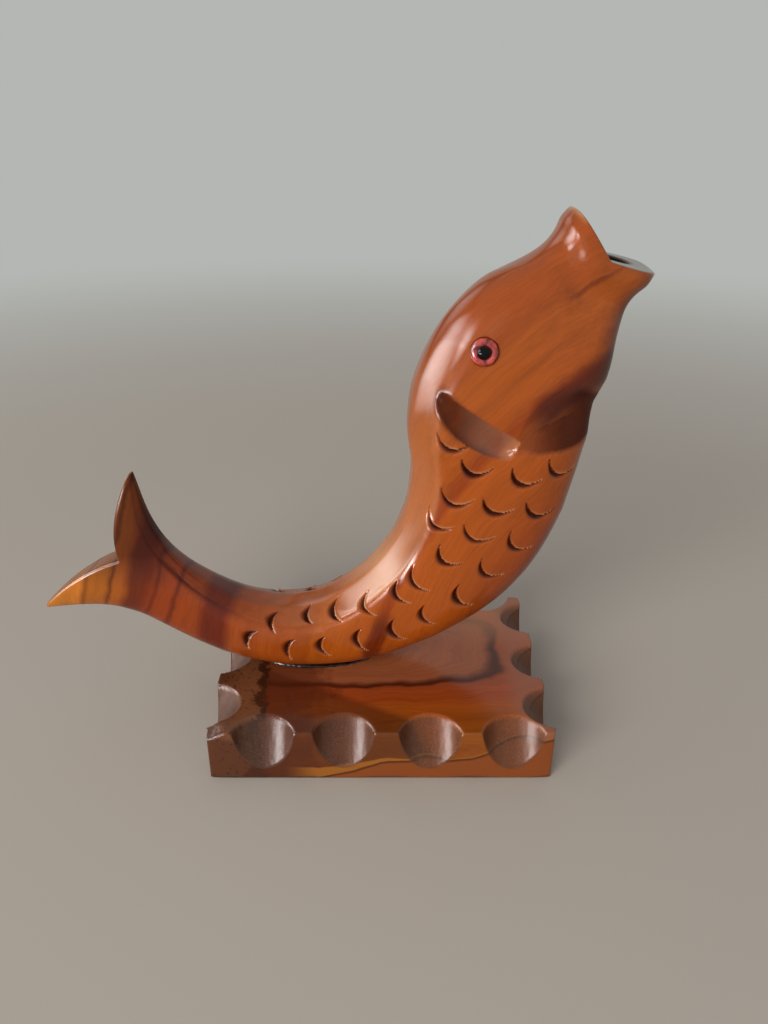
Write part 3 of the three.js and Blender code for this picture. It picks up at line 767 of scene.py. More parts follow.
to_tip = np.abs((body[..., ::2] - lips_at) @ lips_across) / lip_tip
wear_and_sheen = np.max((
    burr_glints * (chipped < UNCUT),
    faded(LIP_RUB * np.exp(-((to_rim / LIP_RUB_WIDTH) ** 2)), (to_tip, 0.7, 0.9)),
    faded(from_table(stations, BACK_SHEEN), (past_edge, 0, 0.05)),
), axis=0)
paled_points = (wear_and_sheen > FAINT) & (chipped < UNCUT) & (leaf_rim < FAINT)
stain_and_painted_light = np.where(paled_points, np.minimum(stain_and_painted_light, STAIN_LEFT) - wear_and_sheen, stain_and_painted_light)
leaf_grey_sheen = faded(from_table(body_x, LEAF_GREY_SHEEN), (leaf, 0, 0.3))
print("rubbed points: %.0f percent" % (100 * paled_points.mean()))

# %% [markdown]
# ## Closing the tail fork
#
# The skin is a tube that is open at both ends. At the tail the saw left a narrow flat face between
# the flanks, and a strip of a few rows from one flank to the other makes it. Filling the hole with
# one many-sided face would shade badly, because the face isn't flat.

# %% Skin faces and fork strip
FORK_STRIPS, FORK_STAIN = 10, 0.4
HALF = ROUND // 2


def quads(grid, closed=False):
    """Four-sided faces between neighbours of a grid, whose rows may close on themselves."""
    if closed:
        grid = np.concatenate((grid, grid[:, :1]), axis=1)
    corners = (grid[:-1, :-1], grid[1:, :-1], grid[1:, 1:], grid[:-1, 1:])
    return np.stack(corners, -1).reshape(-1, 4).tolist()


def fan(tip, ring):
    """Triangles from one point to a closed ring."""
    return [(tip, a, b) for a, b in zip(ring, np.roll(ring, -1))]


points, stain_and_light_values, painted_grey_sheens = [fish_skin.reshape(-1, 3)], [stain_and_painted_light.reshape(-1)], [leaf_grey_sheen.reshape(-1)]


def keep(new_points, stained, painted_grey_sheen=0.0):
    """Adds points with their stain and painted light and grey sheen, and returns their indices."""
    start = sum(len(p) for p in points)
    points.append(new_points.reshape(-1, 3))
    for kept, value in ((stain_and_light_values, stained), (painted_grey_sheens, painted_grey_sheen)):
        kept.append(np.broadcast_to(value, new_points.shape[:-1]).ravel())
    return np.arange(start, start + new_points.size // 3).reshape(new_points.shape[:-1])


grid = np.arange(body_x.size).reshape(body_x.shape)
faces = quads(grid, closed=True)
shares = np.linspace(0, 1, FORK_STRIPS + 1)[1:-1, None, None]
between = keep(fish_skin[0, 1:HALF] * (1 - shares) + fish_skin[0, :HALF:-1] * shares, FORK_STAIN)
strip = np.concatenate((grid[:1, 1:HALF], between, grid[:1, :HALF:-1]))
faces += quads(strip)
faces += [(grid[0, 0], a, b) for a, b in zip(strip[:-1, 0], strip[1:, 0])]
faces += [(grid[0, HALF], b, a) for a, b in zip(strip[:-1, -1], strip[1:, -1])]
print("faces on the skin and in the fork:", len(faces))

# %% [markdown]
# ## The mouth and the bored throat
#
# Inside the lips the sawn V is a flat face round a drilled hole. Its grey is a painted reflection,
# and it darkens towards the hole into black painted shade down the bore. Rings of points shrink
# from the rim of the lips to the circle of the drill and then go down the bore, so the fish stays
# one closed surface, which a printer or a game engine could use as it is.

# %% Mouth and throat
THROAT_RADIUS, THROAT_DEPTH, THROAT_DROP = 4.0, 14.0, 1.5
MOUTH_RINGS, THROAT_RINGS, RING_CROWDING = 14, 16, 1.3
LIP_STAIN, MOUTH_GREY_SHEEN = 0.1, 0.9


def lip_points(across, y, along):
    """Points at the head end, from their places across the lips, sideways and along the spine."""
    flat = lips_at + along[..., None] * lips_along + across[..., None] * lips_across
    return np.stack((flat[..., 0], y + 0 * flat[..., 0], flat[..., 1]), axis=-1)


rim_across, rim_y = (fish_skin[-1][:, ::2] - lips_at) @ lips_across, fish_skin[-1][:, 1]
spin = np.arctan2((rim_y - SIDE_STEP) / GILL_HALF_WIDTH, rim_across / lip_tip)
throat_across = THROAT_RADIUS * np.cos(spin) - THROAT_DROP
throat_y = THROAT_RADIUS * np.sin(spin) + SIDE_STEP

shares = np.linspace(0, 1, MOUTH_RINGS + 1)[1:, None] ** RING_CROWDING
across = rim_across * (1 - shares) + throat_across * shares
across_y = rim_y * (1 - shares) + throat_y * shares
# towards the hole the stain rises into painted shade and the grey painted reflection fades; the
# bore is full painted shade
mouth = keep(lip_points(across, across_y, mouth_depth(across, across_y)),
             LIP_STAIN + (1 - LIP_STAIN) * shares**4, MOUTH_GREY_SHEEN * (1 - shares**4))
deep = np.linspace(0, 1, THROAT_RINGS + 1)[1:, None]
bored = mouth_depth(throat_across, throat_y) * (1 - deep) - (MOUTH_DEPTH + THROAT_DEPTH) * deep
bore = keep(lip_points(throat_across + 0 * deep, throat_y + 0 * deep, bored), 1.0)
bottom = keep(lip_points(np.array([-THROAT_DROP]), np.array([SIDE_STEP]),
                         np.array([-MOUTH_DEPTH - THROAT_DEPTH])), 1.0)[0]
rings = np.concatenate((grid[-1:], mouth, bore))
faces += quads(rings, closed=True) + fan(bottom, rings[-1])
print("throat: %.0f mm wide, %.0f mm deep" % (2 * THROAT_RADIUS, THROAT_DEPTH))

# %% [markdown]
# ## The fish as one mesh
#
# Points and faces become a mesh whose faces are turned outwards and shaded smooth. Fingers and
# sandpaper round every thin edge, so the rims of the mouth and of the fork are relaxed a few times:
# each point moves towards the average of its neighbours. A bevel modifier would round the scales as
# well. The stain with its painted shade and sheen, and the grey painted sheen, are kept as
# attributes, which the material reads.

# %% Fish mesh with relaxed rims
RELAX_TIMES, RELAX_ROWS = 6, 4


def mesh_object(name, point_list, face_list, weld=False):
    """A new smooth-shaded object from points in millimetres, with its faces turned outwards."""
    mesh = bpy.data.meshes.new(name)
    mesh.from_pydata((np.asarray(point_list) * MM).tolist(), [], face_list)
    work = bmesh.new()
    work.from_mesh(mesh)
    if weld:
        bmesh.ops.remove_doubles(work, verts=work.verts, dist=1e-7)
    bmesh.ops.recalc_face_normals(work, faces=work.faces)
    work.to_mesh(mesh)
    work.free()
    mesh.polygons.foreach_set("use_smooth", np.ones(len(mesh.polygons), dtype=bool))
    thing = bpy.data.objects.new(name, mesh)
    scene.collection.objects.link(thing)
    return thing


fish = mesh_object("fish", np.concatenate(points), faces)
rim_points = np.concatenate([part.ravel() for part in (
    grid[:RELAX_ROWS], between[:3], between[-3:], grid[-RELAX_ROWS:], mouth[:4], mouth[-2:],
    bore[:3])])
work = bmesh.new()
work.from_mesh(fish.data)
work.verts.ensure_lookup_table()
rim_verts = [work.verts[i] for i in rim_points]
for _ in range(RELAX_TIMES):
    bmesh.ops.smooth_vert(work, verts=rim_verts, factor=0.5, use_axis_x=True, use_axis_y=True,
                          use_axis_z=True)
work.to_mesh(fish.data)
work.free()
for name, kept in (("stain_and_painted_light", stain_and_light_values), ("painted_grey_sheen", painted_grey_sheens)):
    values = np.concatenate(kept).astype(np.float32)
    fish.data.attributes.new(name, "FLOAT", "POINT").data.foreach_set("value", values)
print("fish:", len(fish.data.vertices), "points, of which relaxed:", len(rim_points))

# %% [markdown]
# ## The top of the base
#
# The base is a sawn block. A round gouge, pushed down across the top edges, left a row of scallops
# on each side. Seen from above the top is a height at every place: the flat board, or the round
# floor of a scallop where that is lower. Taking the softened minimum of the two wears the edges a
# little, as hands and varnish do, and leaves a cleaner mesh than fourteen boolean cuts.

# %% Heights of the base's top
BASE_LENGTH, BASE_WIDTH, BASE_HEIGHT = 84.0, 60.0, 14.0
GOUGE_SIZES, GOUGE_SPREAD = (8.0, 6.8, 10.8), (0.03, 0.05, 0.04)  # radius, reach on top and side
EDGE_WEAR, BASE_STEP, GOUGE_CHATTER, BOARD_WAVES = 0.1, 0.375, 0.2, 0.05
CORNER_PULL, CORNER_SHARPNESS, CORNER_CHIP = 0.012, 26, (5.0, 2.2)  # the chip's reach and depth
SCALLOP_FROM, SCALLOP_FULL = 0.25, 0.7  # depth where end grain begins, and over which it grows
SCALLOPS = {  # direction across the edge, and the places of the scallops along it
    (0, -1): (-28.2, -9.0, 11.8, 31.8),
    (0, 1): (-31.4, -10.8, 10.2, 30.9),
    (1, 0): (-20.2, -1.5, 19.0),
    (-1, 0): (-19.2, 0.6, 20.4),
}


def scallop_floor(run, out, radius, top_reach, side_reach):
    """Height of a gouge's floor, at a place along and across the edge. Out is 0 on the edge."""
    steep = math.atan2(side_reach, top_reach)
    bow = radius - np.sqrt(np.maximum(radius**2 - run**2, 1e-6))
    slide = (out + top_reach - math.sin(steep) * bow) / math.cos(steep)
    floor_height = BASE_HEIGHT - math.sin(steep) * slide + math.cos(steep) * bow
    return np.where(np.abs(run) < radius, floor_height, BASE_HEIGHT + 9)


share_x = np.linspace(-1, 1, int(BASE_LENGTH / BASE_STEP) + 1)[:, None]
share_y = np.linspace(-1, 1, int(BASE_WIDTH / BASE_STEP) + 1)[None, :]
pull = 1 - CORNER_PULL * np.abs(share_x * share_y) ** CORNER_SHARPNESS
top_x, top_y = BASE_LENGTH / 2 * share_x * pull, BASE_WIDTH / 2 * share_y * pull
melted = np.ones_like(top_x)
for (edge_x, edge_y), places in SCALLOPS.items():
    limit = BASE_LENGTH / 2 if edge_x else BASE_WIDTH / 2
    out = top_x * edge_x + top_y * edge_y - limit
    for place in places:
        sizes = GOUGE_SIZES * (1 + np.array(GOUGE_SPREAD) * chisel.uniform(-1, 1, 3))
        lower = scallop_floor((top_y if edge_x else top_x) - place, out, *sizes)
        melted += np.exp(np.clip((BASE_HEIGHT - lower) / EDGE_WEAR, -60, 300))
top_z = BASE_HEIGHT - EDGE_WEAR * np.log(melted)
to_corner = np.hypot(top_x + BASE_LENGTH / 2, top_y + BASE_WIDTH / 2)
top_z -= CORNER_CHIP[1] * unit(1 - to_corner / CORNER_CHIP[0])
# planing leaves slow waves, about 20 mm long
board_waves = np.sin(top_x * 0.31 + 1.7 * np.sin(top_y * 0.17)) * np.sin(top_y * 0.27 + 0.6)
top_z -= BOARD_WAVES * np.abs(board_waves)
in_scallop = unit((BASE_HEIGHT - SCALLOP_FROM - top_z) / SCALLOP_FULL)
top_z -= GOUGE_CHATTER * in_scallop * chisel.uniform(0, 1, top_z.shape)
print("scallops:", sum(map(len, SCALLOPS.values())))

# %% [markdown]
# ## The sides and the underside of the base
#
# The border of the top is let down to the table in rings, and more rings shrink to a point under
# the block. Even rings give the holes that are drilled next a clean mesh to cut. How deep each
# point lies in a scallop is kept as an attribute, because cut end grain looks different from the
# board.

# %% Base mesh
WALL_ROWS, UNDERSIDE_RINGS = 12, (0.99, 0.75, 0.51, 0.27)

top = np.arange(top_x.size).reshape(top_x.shape)
top_points = np.stack((top_x, top_y, top_z), -1).reshape(-1, 3)
border = np.concatenate((top[:-1, 0], top[-1, :-1], top[:0:-1, -1], top[0, :0:-1]))
rings = [top_points[border] * (1, 1, share) for share in np.linspace(1, 0, WALL_ROWS + 1)[1:]]
rings += [top_points[border] * (share, share, 0) for share in UNDERSIDE_RINGS]
base_points = np.concatenate((top_points, *rings, np.zeros((1, 3))))
lower_rings = np.arange(top.size, len(base_points) - 1).reshape(len(rings), -1)
wall = np.concatenate((border[None], lower_rings))
base_faces = quads(top) + quads(wall, closed=True) + fan(len(base_points) - 1, wall[-1])
base = mesh_object("base", base_points, base_faces)
gouged = np.zeros(len(base_points), dtype=np.float32)
gouged[:top.size] = in_scallop.ravel()
base.data.attributes.new("gouged", "FLOAT", "POINT").data.foreach_set("value", gouged)
print("base:", len(base.data.vertices), "points")

# %% [markdown]
# ## Turned shapes and drilling
#
# Beads, pins and drill bits are all turned shapes: a profile of radius and height, spun round a
# line. The drilled holes are the few cuts here that need true booleans, because their edges are
# sharp and round.

# %% Spin and drill
def spun(name, profile, start, axis, sides=64):
    """A turned piece: radius and height pairs spun round an axis, in millimetres."""
    lathe = np.array(Vector((0, 0, 1)).rotation_difference(Vector(axis)).to_matrix())
    turns = np.linspace(0, 2 * math.pi, sides, endpoint=False)
    radii, heights = np.array(profile, dtype=float).T[..., None]
    turned = np.stack((radii * np.cos(turns), radii * np.sin(turns), heights + 0 * turns), -1)
    numbers = np.arange(len(profile) * sides).reshape(len(profile), sides)
    return mesh_object(name, turned.reshape(-1, 3) @ lathe.T + np.array(start),
                       quads(numbers, closed=True), weld=True)


def drill(piece, cutter):
    """Cuts a closed cutter out of a piece and throws the cutter away."""
    cut = piece.modifiers.new("hole", "BOOLEAN")
    cut.operation, cut.solver, cut.object = "DIFFERENCE", "MANIFOLD", cutter
    bpy.context.view_layer.objects.active = piece
    bpy.ops.object.modifier_apply(modifier=cut.name)
    bpy.data.objects.remove(cutter)
    piece.data.materials.clear()


print("ready to spin and drill")

# %% [markdown]
# ## Holes for the screw and the eyes
#
# A screw from below holds the fish while the glue sets, and each eye sits in a shallow drilled
# socket with a hole for its pin. The eye's place is worked out from the same spine and slice as the
# skin, and the cross product of two directions in the skin points straight out of the cheek.

# %% Drill the holes
FIT, SNUG = 0.3, 0.1
SCREW_PROFILE = ((0, -2), (4.3, -2), (4.3, 1.3), (2.3, 3.5), (2.3, 21.0), (0, 25.0))
EYE_STATION, EYE_RISE, NUDGE = 13.1, 0.55, 0.01
BEAD_RADIUS, BEAD_SINK = 3.0, 1.0
SHANK_RADIUS, PIN_LENGTH, PIN_PROUD, CUTTER_PROUD = 0.6, 8.0, 1.4, 4


def cheek(station, angle):
    """A point on the plain rounded square of the head, without its bevel."""
    rise, wide = (math.copysign(abs(v) ** (2 / SECTION_POWER), v)
                  for v in (math.cos(angle), math.sin(angle)))
    return skin(np.array(station), rise, wide)


def eye_place(side):
    """Place of an eye on the flank, and the direction out of the wood."""
    turn = math.acos(EYE_RISE ** (SECTION_POWER / 2)) * side
    along = cheek(EYE_STATION + NUDGE, turn) - cheek(EYE_STATION - NUDGE, turn)
    out = np.cross(along, cheek(EYE_STATION, turn + NUDGE) - cheek(EYE_STATION, turn - NUDGE))
    return cheek(EYE_STATION, turn), out / np.linalg.norm(out)


screw_line = (seat_x, SIDE_STEP, 0)
for piece in (base, fish):
    drill(piece, spun("screw_hole", SCREW_PROFILE, screw_line, (0, 0, 1)))
hole, recess = SHANK_RADIUS + FIT, BEAD_RADIUS + SNUG
hole_end, recess_floor = PIN_PROUD - PIN_LENGTH, -BEAD_SINK - FIT
socket = ((0, hole_end), (hole, hole_end), (hole, recess_floor), (recess, recess_floor),
          (recess, CUTTER_PROUD), (0, CUTTER_PROUD))
for side in (-1, 1):
    drill(fish, spun("eye_socket", socket, *eye_place(side)))
print("drilled: one screw hole and two eye sockets")

# %% [markdown]
# ## Glass eyes
#
# Each eye is a red glass ring bead with a black round-headed pin through it. Beads are made by
# winding hot glass, so the ring is a soft ellipse in section. The pin's head is a low dome that
# catches one bright point of light. A ready-made ring could be squashed into shape, but a spun
# profile gives the true sizes of the hole, the shank and the head.

# %% Beads and pins
BEAD_THICKNESS, PIN_HEAD_RADIUS, PIN_HEAD_HEIGHT = 2.4, 1.5, 1.1

bead_middle, bead_half = (BEAD_RADIUS + hole) / 2, (BEAD_RADIUS - hole) / 2
bead_ring = [(bead_middle + bead_half * math.cos(a), BEAD_THICKNESS / 2 * math.sin(a))
             for a in np.linspace(0, 2 * math.pi, 25)]
dome = [(PIN_HEAD_RADIUS * math.cos(a), PIN_LENGTH + PIN_HEAD_HEIGHT * math.sin(a))
        for a in np.linspace(0, math.pi / 2, 12)]
pin_profile = [(0, 0), (SHANK_RADIUS, 2 * SHANK_RADIUS), (SHANK_RADIUS, PIN_LENGTH)] + dome
eyes = {}
for name, side in (("right", -1), ("left", 1)):
    place, out = eye_place(side)
    bead = spun(name + "_bead", bead_ring, place + out * (BEAD_THICKNESS / 2 - BEAD_SINK), out)
    pin = spun(name + "_pin", pin_profile,
               place + out * (BEAD_THICKNESS - BEAD_SINK + FIT - PIN_LENGTH), out, 48)
    eyes[name] = bead, pin
print("eyes:", ", ".join(eyes))

# %% [markdown]
# ## Squeezed-out glue
#
# When the fish was pressed onto its base, dark glue came out under the belly and set in a lumpy
# shining line. It is made as a flat oval pad whose top is the lower of two things: a soft rounded
# rim, and the belly itself, so that the glue fills the gap exactly and never pokes through. A
# search tree finds the belly's point above each point of the glue.

# %% Heights of the glue
GLUE_LENGTH, GLUE_WIDTH, GLUE_FORWARD, GLUE_RIM = 32.0, 15.0, 4.0, 1.3
GLUE_TURNS, GLUE_RINGS = 180, 26
GLUE_THINNEST, GLUE_CLEAR, GLUE_SOLE = 0.3, 0.05, 0.02
LUMP_SPREAD, EDGE_SPREAD, LUMP_HEIGHT, DIMPLES = 0.025, 0.015, 0.3, (0.75, 1)
BELLY_TOP, BELLY_FROM, BELLY_TO = 22, -45, 15  # the part of the skin that hangs over the glue

turns = np.linspace(0, 2 * math.pi, GLUE_TURNS, endpoint=False)
lumps = sum(chisel.uniform(0.2, 1) * np.sin(turns * n + chisel.uniform(0, 6.3)) / n**0.5
            for n in (3, 5, 8, 13, 21, 29, 38, 47))
spread = 1 + LUMP_SPREAD * lumps + EDGE_SPREAD * chisel.uniform(-1, 1, GLUE_TURNS)
share = np.sin(np.arange(1, GLUE_RINGS + 1) / GLUE_RINGS * math.pi / 2)[:, None]
glue_x = seat_x + GLUE_FORWARD + share * spread * GLUE_LENGTH / 2 * np.cos(turns)
glue_y = SIDE_STEP + share * spread * GLUE_WIDTH / 2 * np.sin(turns)
rim_height = (GLUE_RIM * (1 + LUMP_HEIGHT * lumps) * np.sqrt(np.maximum(0, 1 - share**8))
              * chisel.uniform(*DIMPLES, glue_x.shape))

belly = fish_skin.reshape(-1, 3)
belly = belly[(belly[:, 2] < BELLY_TOP) & (belly[:, 0] > BELLY_FROM) & (belly[:, 0] < BELLY_TO)]
tree = KDTree(len(belly))
for n, (x, y, _) in enumerate(belly):
    tree.insert((x, y, 0), n)
tree.balance()
over = [tree.find((x, y, 0))[1] for x, y in zip(glue_x.flat, glue_y.flat)]
gap = belly[over, 2].reshape(glue_x.shape) - BASE_HEIGHT - GLUE_CLEAR
glue_z = BASE_HEIGHT + np.minimum(rim_height, np.maximum(gap, GLUE_THINNEST))
print("glue: %.0f x %.0f mm" % (GLUE_LENGTH, GLUE_WIDTH))

# %% [markdown]
# ## The glue as a mesh
#
# The pad is one closed shell, because an open sheet could not be drilled or printed. Rings go out
# over the top from a middle point to the rim, over the edge and back underneath to a second middle
# point. The screw's hole goes through it as through the wood.

# %% Glue mesh
glue_top = np.concatenate((
    [(seat_x + GLUE_FORWARD, SIDE_STEP, BASE_HEIGHT + GLUE_THINNEST)],
    np.stack((glue_x, glue_y, glue_z), -1).reshape(-1, 3)))
glue_sole = glue_top * (1, 1, 0) + (0, 0, BASE_HEIGHT + GLUE_SOLE)
top_rings = np.arange(1, len(glue_top)).reshape(GLUE_RINGS, GLUE_TURNS)
sole_rings = top_rings + len(glue_top)
glue_faces = quads(np.concatenate((top_rings, sole_rings[::-1])), closed=True)
glue_faces += fan(0, top_rings[0]) + fan(len(glue_top), sole_rings[0])
glue = mesh_object("glue", np.concatenate((glue_top, glue_sole)), glue_faces)
drill(glue, spun("screw_hole", SCREW_PROFILE, screw_line, (0, 0, 1)))
print("glue:", len(glue.data.vertices), "points")

# %% [markdown]
# ## Wood coloured by distance
#
# A tree grows in rings, so the tone of its wood depends on how far a place is from the tree's
# middle. A picture of a plank would not follow a carved shape. Two helpers serve both pieces of
# wood instead: one gives places in millimetres, so that patterns get their real sizes, and one
# turns a distance into the colours of neighbouring zones.

# %% Wood helpers
def to_millimetres(material):
    """Object coordinates in millimetres, as a vector and as its three parts."""
    spot = add(material, "VectorMath", {0: add(material, "TexCoord", out="Object"),
                                        "Scale": 1 / MM}, operation="SCALE")
    return spot, add(material, "SeparateXYZ", {0: spot}).node.outputs


def ring_ramp(material, distance, zones):
    """Wood colour from a distance in millimetres, by zones that blend into each other."""
    low, high = zones[0][0], zones[-1][0]
    ramp = add(material, "ValToRGB", {"Fac": graded(material, distance, low, high)})
    stops = ramp.node.color_ramp.elements
    stops[0].color, stops[1].color = linear(zones[0][1]), linear(zones[-1][1])
    for place, colour in zones[1:-1]:
        stops.new((place - low) / (high - low)).color = linear(colour)
    return ramp


print("patterns are sized in millimetres:", round(1 / MM), "to the metre")

# %% [markdown]
# ## Year rings in the fish
#
# The board is a warm orange-brown fruitwood with red heart streaks and a golden sapwood edge. Its
# year rings can be read off the flank: the dark lines on the tail, the belly, the cheek and the
# mouth all lie on circles round one far-off middle. A wave texture would give even stripes. Here
# the distance to that middle runs through a colour ramp, so each ring has its own width and tone.

# %% Year rings
RING_MIDDLE = 115.0  # x of the tree's middle, level with the table
RING_LEAN, RING_WANDER, TAIL_SLANT = 0.22, (-0.6, 4.6), -4.7
RING_ZONES = (  # distance from the middle in millimetres, and the colour of the wood there
    (92, "#88370b"), (104, "#a24c11"), (116.6, "#a54e11"), (118.2, "#8c390b"), (119.4, "#8c390b"),
    (121.4, "#9e4a0f"), (134.4, "#a04d11"), (136.6, "#8f410e"), (140, "#95440f"),
    (156.5, "#8f3f0e"), (159, "#601b04"), (164, "#651f05"), (166.5, "#89390b"), (171.2, "#86350a"),
    (172.2, "#5d1d04"), (173.4, "#87340a"), (177.0, "#833208"), (178, "#622005"), (179, "#802f08"),
    (181.4, "#632105"), (184.6, "#672506"), (186.8, "#994c12"), (188.6, "#9d5113"),
    (189.5, "#6b3009"), (190.6, "#a55a16"), (194.6, "#a85e17"), (195.6, "#793f0a"),
    (196.8, "#b4681f"), (206, "#ba7123"),
)
# fruitwood, carved, stained and varnished: warm figured colour deep under a clear gloss
fish_wood = new_material("varnished_fruitwood")
spot, (spot_x, spot_y, spot_z) = to_millimetres(fish_wood)
from_middle = calc(fish_wood, "SUBTRACT", spot_x, RING_MIDDLE)
flat = add(fish_wood, "CombineXYZ", {"X": from_middle, "Z": spot_z})
distance = add(fish_wood, "VectorMath", {0: flat}, out="Value", operation="LENGTH")
# the rings lean a little through the board, and wander by a few millimetres in 17 mm waves
lean = calc(fish_wood, "MULTIPLY_ADD", spot_y, RING_LEAN, distance)
wander = graded(fish_wood, noise(fish_wood, spot, 0.06, 5.0, 0.55), 0.0, 1.0, *RING_WANDER)
distance = calc(fish_wood, "ADD", lean, wander)
# in the tail they slant more, because the board was sawn near a branch
tailward = graded(fish_wood, spot_x, -48.0, -58.0)
upward = graded(fish_wood, spot_z, 18.0, 36.0, TAIL_SLANT, 0.0)
distance = calc(fish_wood, "MULTIPLY_ADD", tailward, upward, distance)
colour = ring_ramp(fish_wood, distance, RING_ZONES)
print("fish wood zones:", len(RING_ZONES))

# %% [markdown]
# ## Heart streaks and fibres
#
# A few red heart streaks follow the rings for a short way only, as on the cheek and the belly. The
# one low on the cheek is widened and darkened, as painted shade where the cheek turns away from the
# light. They are laid over the rings between two angles seen from the tree's middle. Fine fibres
# then run along the circles: noise that is stretched in that direction is the simplest way to draw
# them.

# %% Streaks and fibres
HEART_COLOUR = "#5a1c08"
STREAKS = (  # distance, half width, first and last angle, strength
    (135.3, 0.75, 2.085, 2.165, 0.6),    # towards the corner of the mouth
    # heartwood, widened and darkened into painted shade on the cheek's turned-away side
    (117.2, 4.4, 1.9, 2.33, 0.85),       # low on the cheek and over the gill
    (118.6, 3.4, 2.86, 3.05, 0.75),      # belly patch
)
STREAK_CORE, STREAK_FADE, FIBRE_DRAW = 0.35, 0.03, 5.0
FIBRES, BANDS = (1.9, 5.0, 0.62), (0.28, 3.0, 0.5)  # scale, detail and roughness of the noise
FIBRE_SHADE = 0.72, 1.26


def tinted(material, colour, tone, *steps):
    """Lays a tone over a colour. Each step fades it in while a value goes from start to stop."""
    share, *more = (graded(material, value, start, stop, high=strength, smooth=True)
                    for value, start, stop, strength in steps)
    for step in more:
        share = calc(material, "MULTIPLY", share, step)
    return blend(material, share, colour, tone)


def along_fibres(material, distance, along, through, colour):
    """Fibres half a millimetre wide and 10 to 20 mm long, in 4 mm bands, worked into a colour."""
    drawn_out = add(material, "CombineXYZ", {"X": distance, "Y": along, "Z": through})
    fibres, bands = (noise(material, drawn_out, *kind) for kind in (FIBRES, BANDS))
    shade = graded(material, calc(material, "ADD", fibres, bands), 0.6, 1.4, *FIBRE_SHADE)
    return add(material, "VectorMath", {0: colour, "Scale": shade}, operation="SCALE"), fibres


angle = calc(fish_wood, "ARCTAN2", spot_z, from_middle)
for ring, half, start, stop, strength in STREAKS:
    off = calc(fish_wood, "ABSOLUTE", calc(fish_wood, "SUBTRACT", distance, ring))
    colour = tinted(fish_wood, colour, HEART_COLOUR, (off, half, STREAK_CORE * half, strength),
                    (angle, start - STREAK_FADE, start + STREAK_FADE, 1.0),
                    (angle, stop + STREAK_FADE, stop - STREAK_FADE, 1.0))
arc = calc(fish_wood, "MULTIPLY", angle, FIBRE_DRAW)
colour, fibres = along_fibres(fish_wood, distance, arc, spot_y, colour)
print("heart streaks:", len(STREAKS))

# %% [markdown]
# ## Stain and varnish on the fish
#
# Cut facets show the ends of the fibres, which soak up stain, so the attributes of the mesh darken
# them, pale what is rubbed and grey what is raw. Several coats of gloss varnish lie over it all.
# The shader's coat layer is made for that: it adds a clear reflection over a matt wood. The deep
# cuts drank most of the varnish and hardly shine.

# %% Stain, painted light and varnish
# stain with painted shade, pale wear with painted sheen, grey painted sheen, and the black painted
# shade of the bore
STAIN_AND_SHADE_COLOUR, WEAR_AND_SHEEN_COLOUR, GREY_SHEEN_COLOUR, BORE_SHADE_COLOUR = "#280d0f", "#d9a679", "#716f69", "#0c0604"
VARNISH_IOR, VARNISH_ROUGHNESS, WOOD_ROUGHNESS = 1.46, 0.17, 0.5
WEAR_AND_SHEEN_SHARE, COAT_IN_CUTS = 0.75, 0.3
GRAIN_STRENGTH, GRAIN_DEPTH = 0.06, 0.4 * MM

stain_and_light_share, painted_grey_sheen = (add(fish_wood, "Attribute", out="Fac", attribute_name=name)
               for name in ("stain_and_painted_light", "painted_grey_sheen"))
pale_wear_and_sheen = graded(fish_wood, stain_and_light_share, 0.0, -1.0, high=WEAR_AND_SHEEN_SHARE)
bore_shade = graded(fish_wood, stain_and_light_share, 0.86, 1.0)
for share, tone in ((stain_and_light_share, STAIN_AND_SHADE_COLOUR), (pale_wear_and_sheen, WEAR_AND_SHEEN_COLOUR), (painted_grey_sheen, GREY_SHEEN_COLOUR),
                    (bore_shade, BORE_SHADE_COLOUR)):
    colour = blend(fish_wood, share, colour, tone)


def varnish(material, colour, fibres, coat=1.0):
    """Wood under gloss varnish: soft fibres below, a clear and nearly smooth coat on top."""
    grain = add(material, "Bump", {"Height": fibres, "Strength": GRAIN_STRENGTH,
                                   "Distance": GRAIN_DEPTH})
    shine = add(material, "BsdfPrincipled", {
        "Base Color": colour, "Roughness": WOOD_ROUGHNESS, "Specular IOR Level": 0.0,
        "Normal": grain, "Coat Weight": coat, "Coat Roughness": VARNISH_ROUGHNESS,
        "Coat IOR": VARNISH_IOR})
    add(material, "OutputMaterial", {"Surface": shine})


varnish(fish_wood, colour, fibres, graded(fish_wood, stain_and_light_share, 0.3, 0.8, 1.0, COAT_IN_CUTS))
fish.data.materials.append(fish_wood)
print("fish wood:", len(fish_wood.node_tree.nodes), "nodes")

# %% [markdown]
# ## The hairpin vein of the base
#
# The base came from another, wilder piece of the tree: nearly black at one end, red in the middle,
# and orange round a dark vein that bends like a hairpin. The vein is one contour of a rounded
# rectangle that was drawn out along the block, so the distance to that shape gives the colour, as
# the distance to the tree's middle does in the fish. Behind the fish a pale tone is painted light,
# which lifts the shadow that the fish casts there, and the wood is paler towards the head end.

# %% Vein of the base
VEIN_SHAPE, VEIN_SIZE, VEIN_POWER = ((-10.0, 41.5), (3.5, 15.3)), 19.0, 4.0  # middle and reach
VEIN_WOBBLE, BASE_DRAW = 5.0, 0.05
BASE_ZONES = (  # distance from the hairpin's middle in millimetres
    (0, "#a85d36"), (10, "#a95f3a"), (16.5, "#985434"), (18.4, "#5a2a18"), (19.4, "#45190c"),
    (20.6, "#95421c"), (26, "#9a4216"), (31, "#9c4a13"), (36, "#94480f"), (40, "#87440f"),
    (48, "#8e4d14"),
)
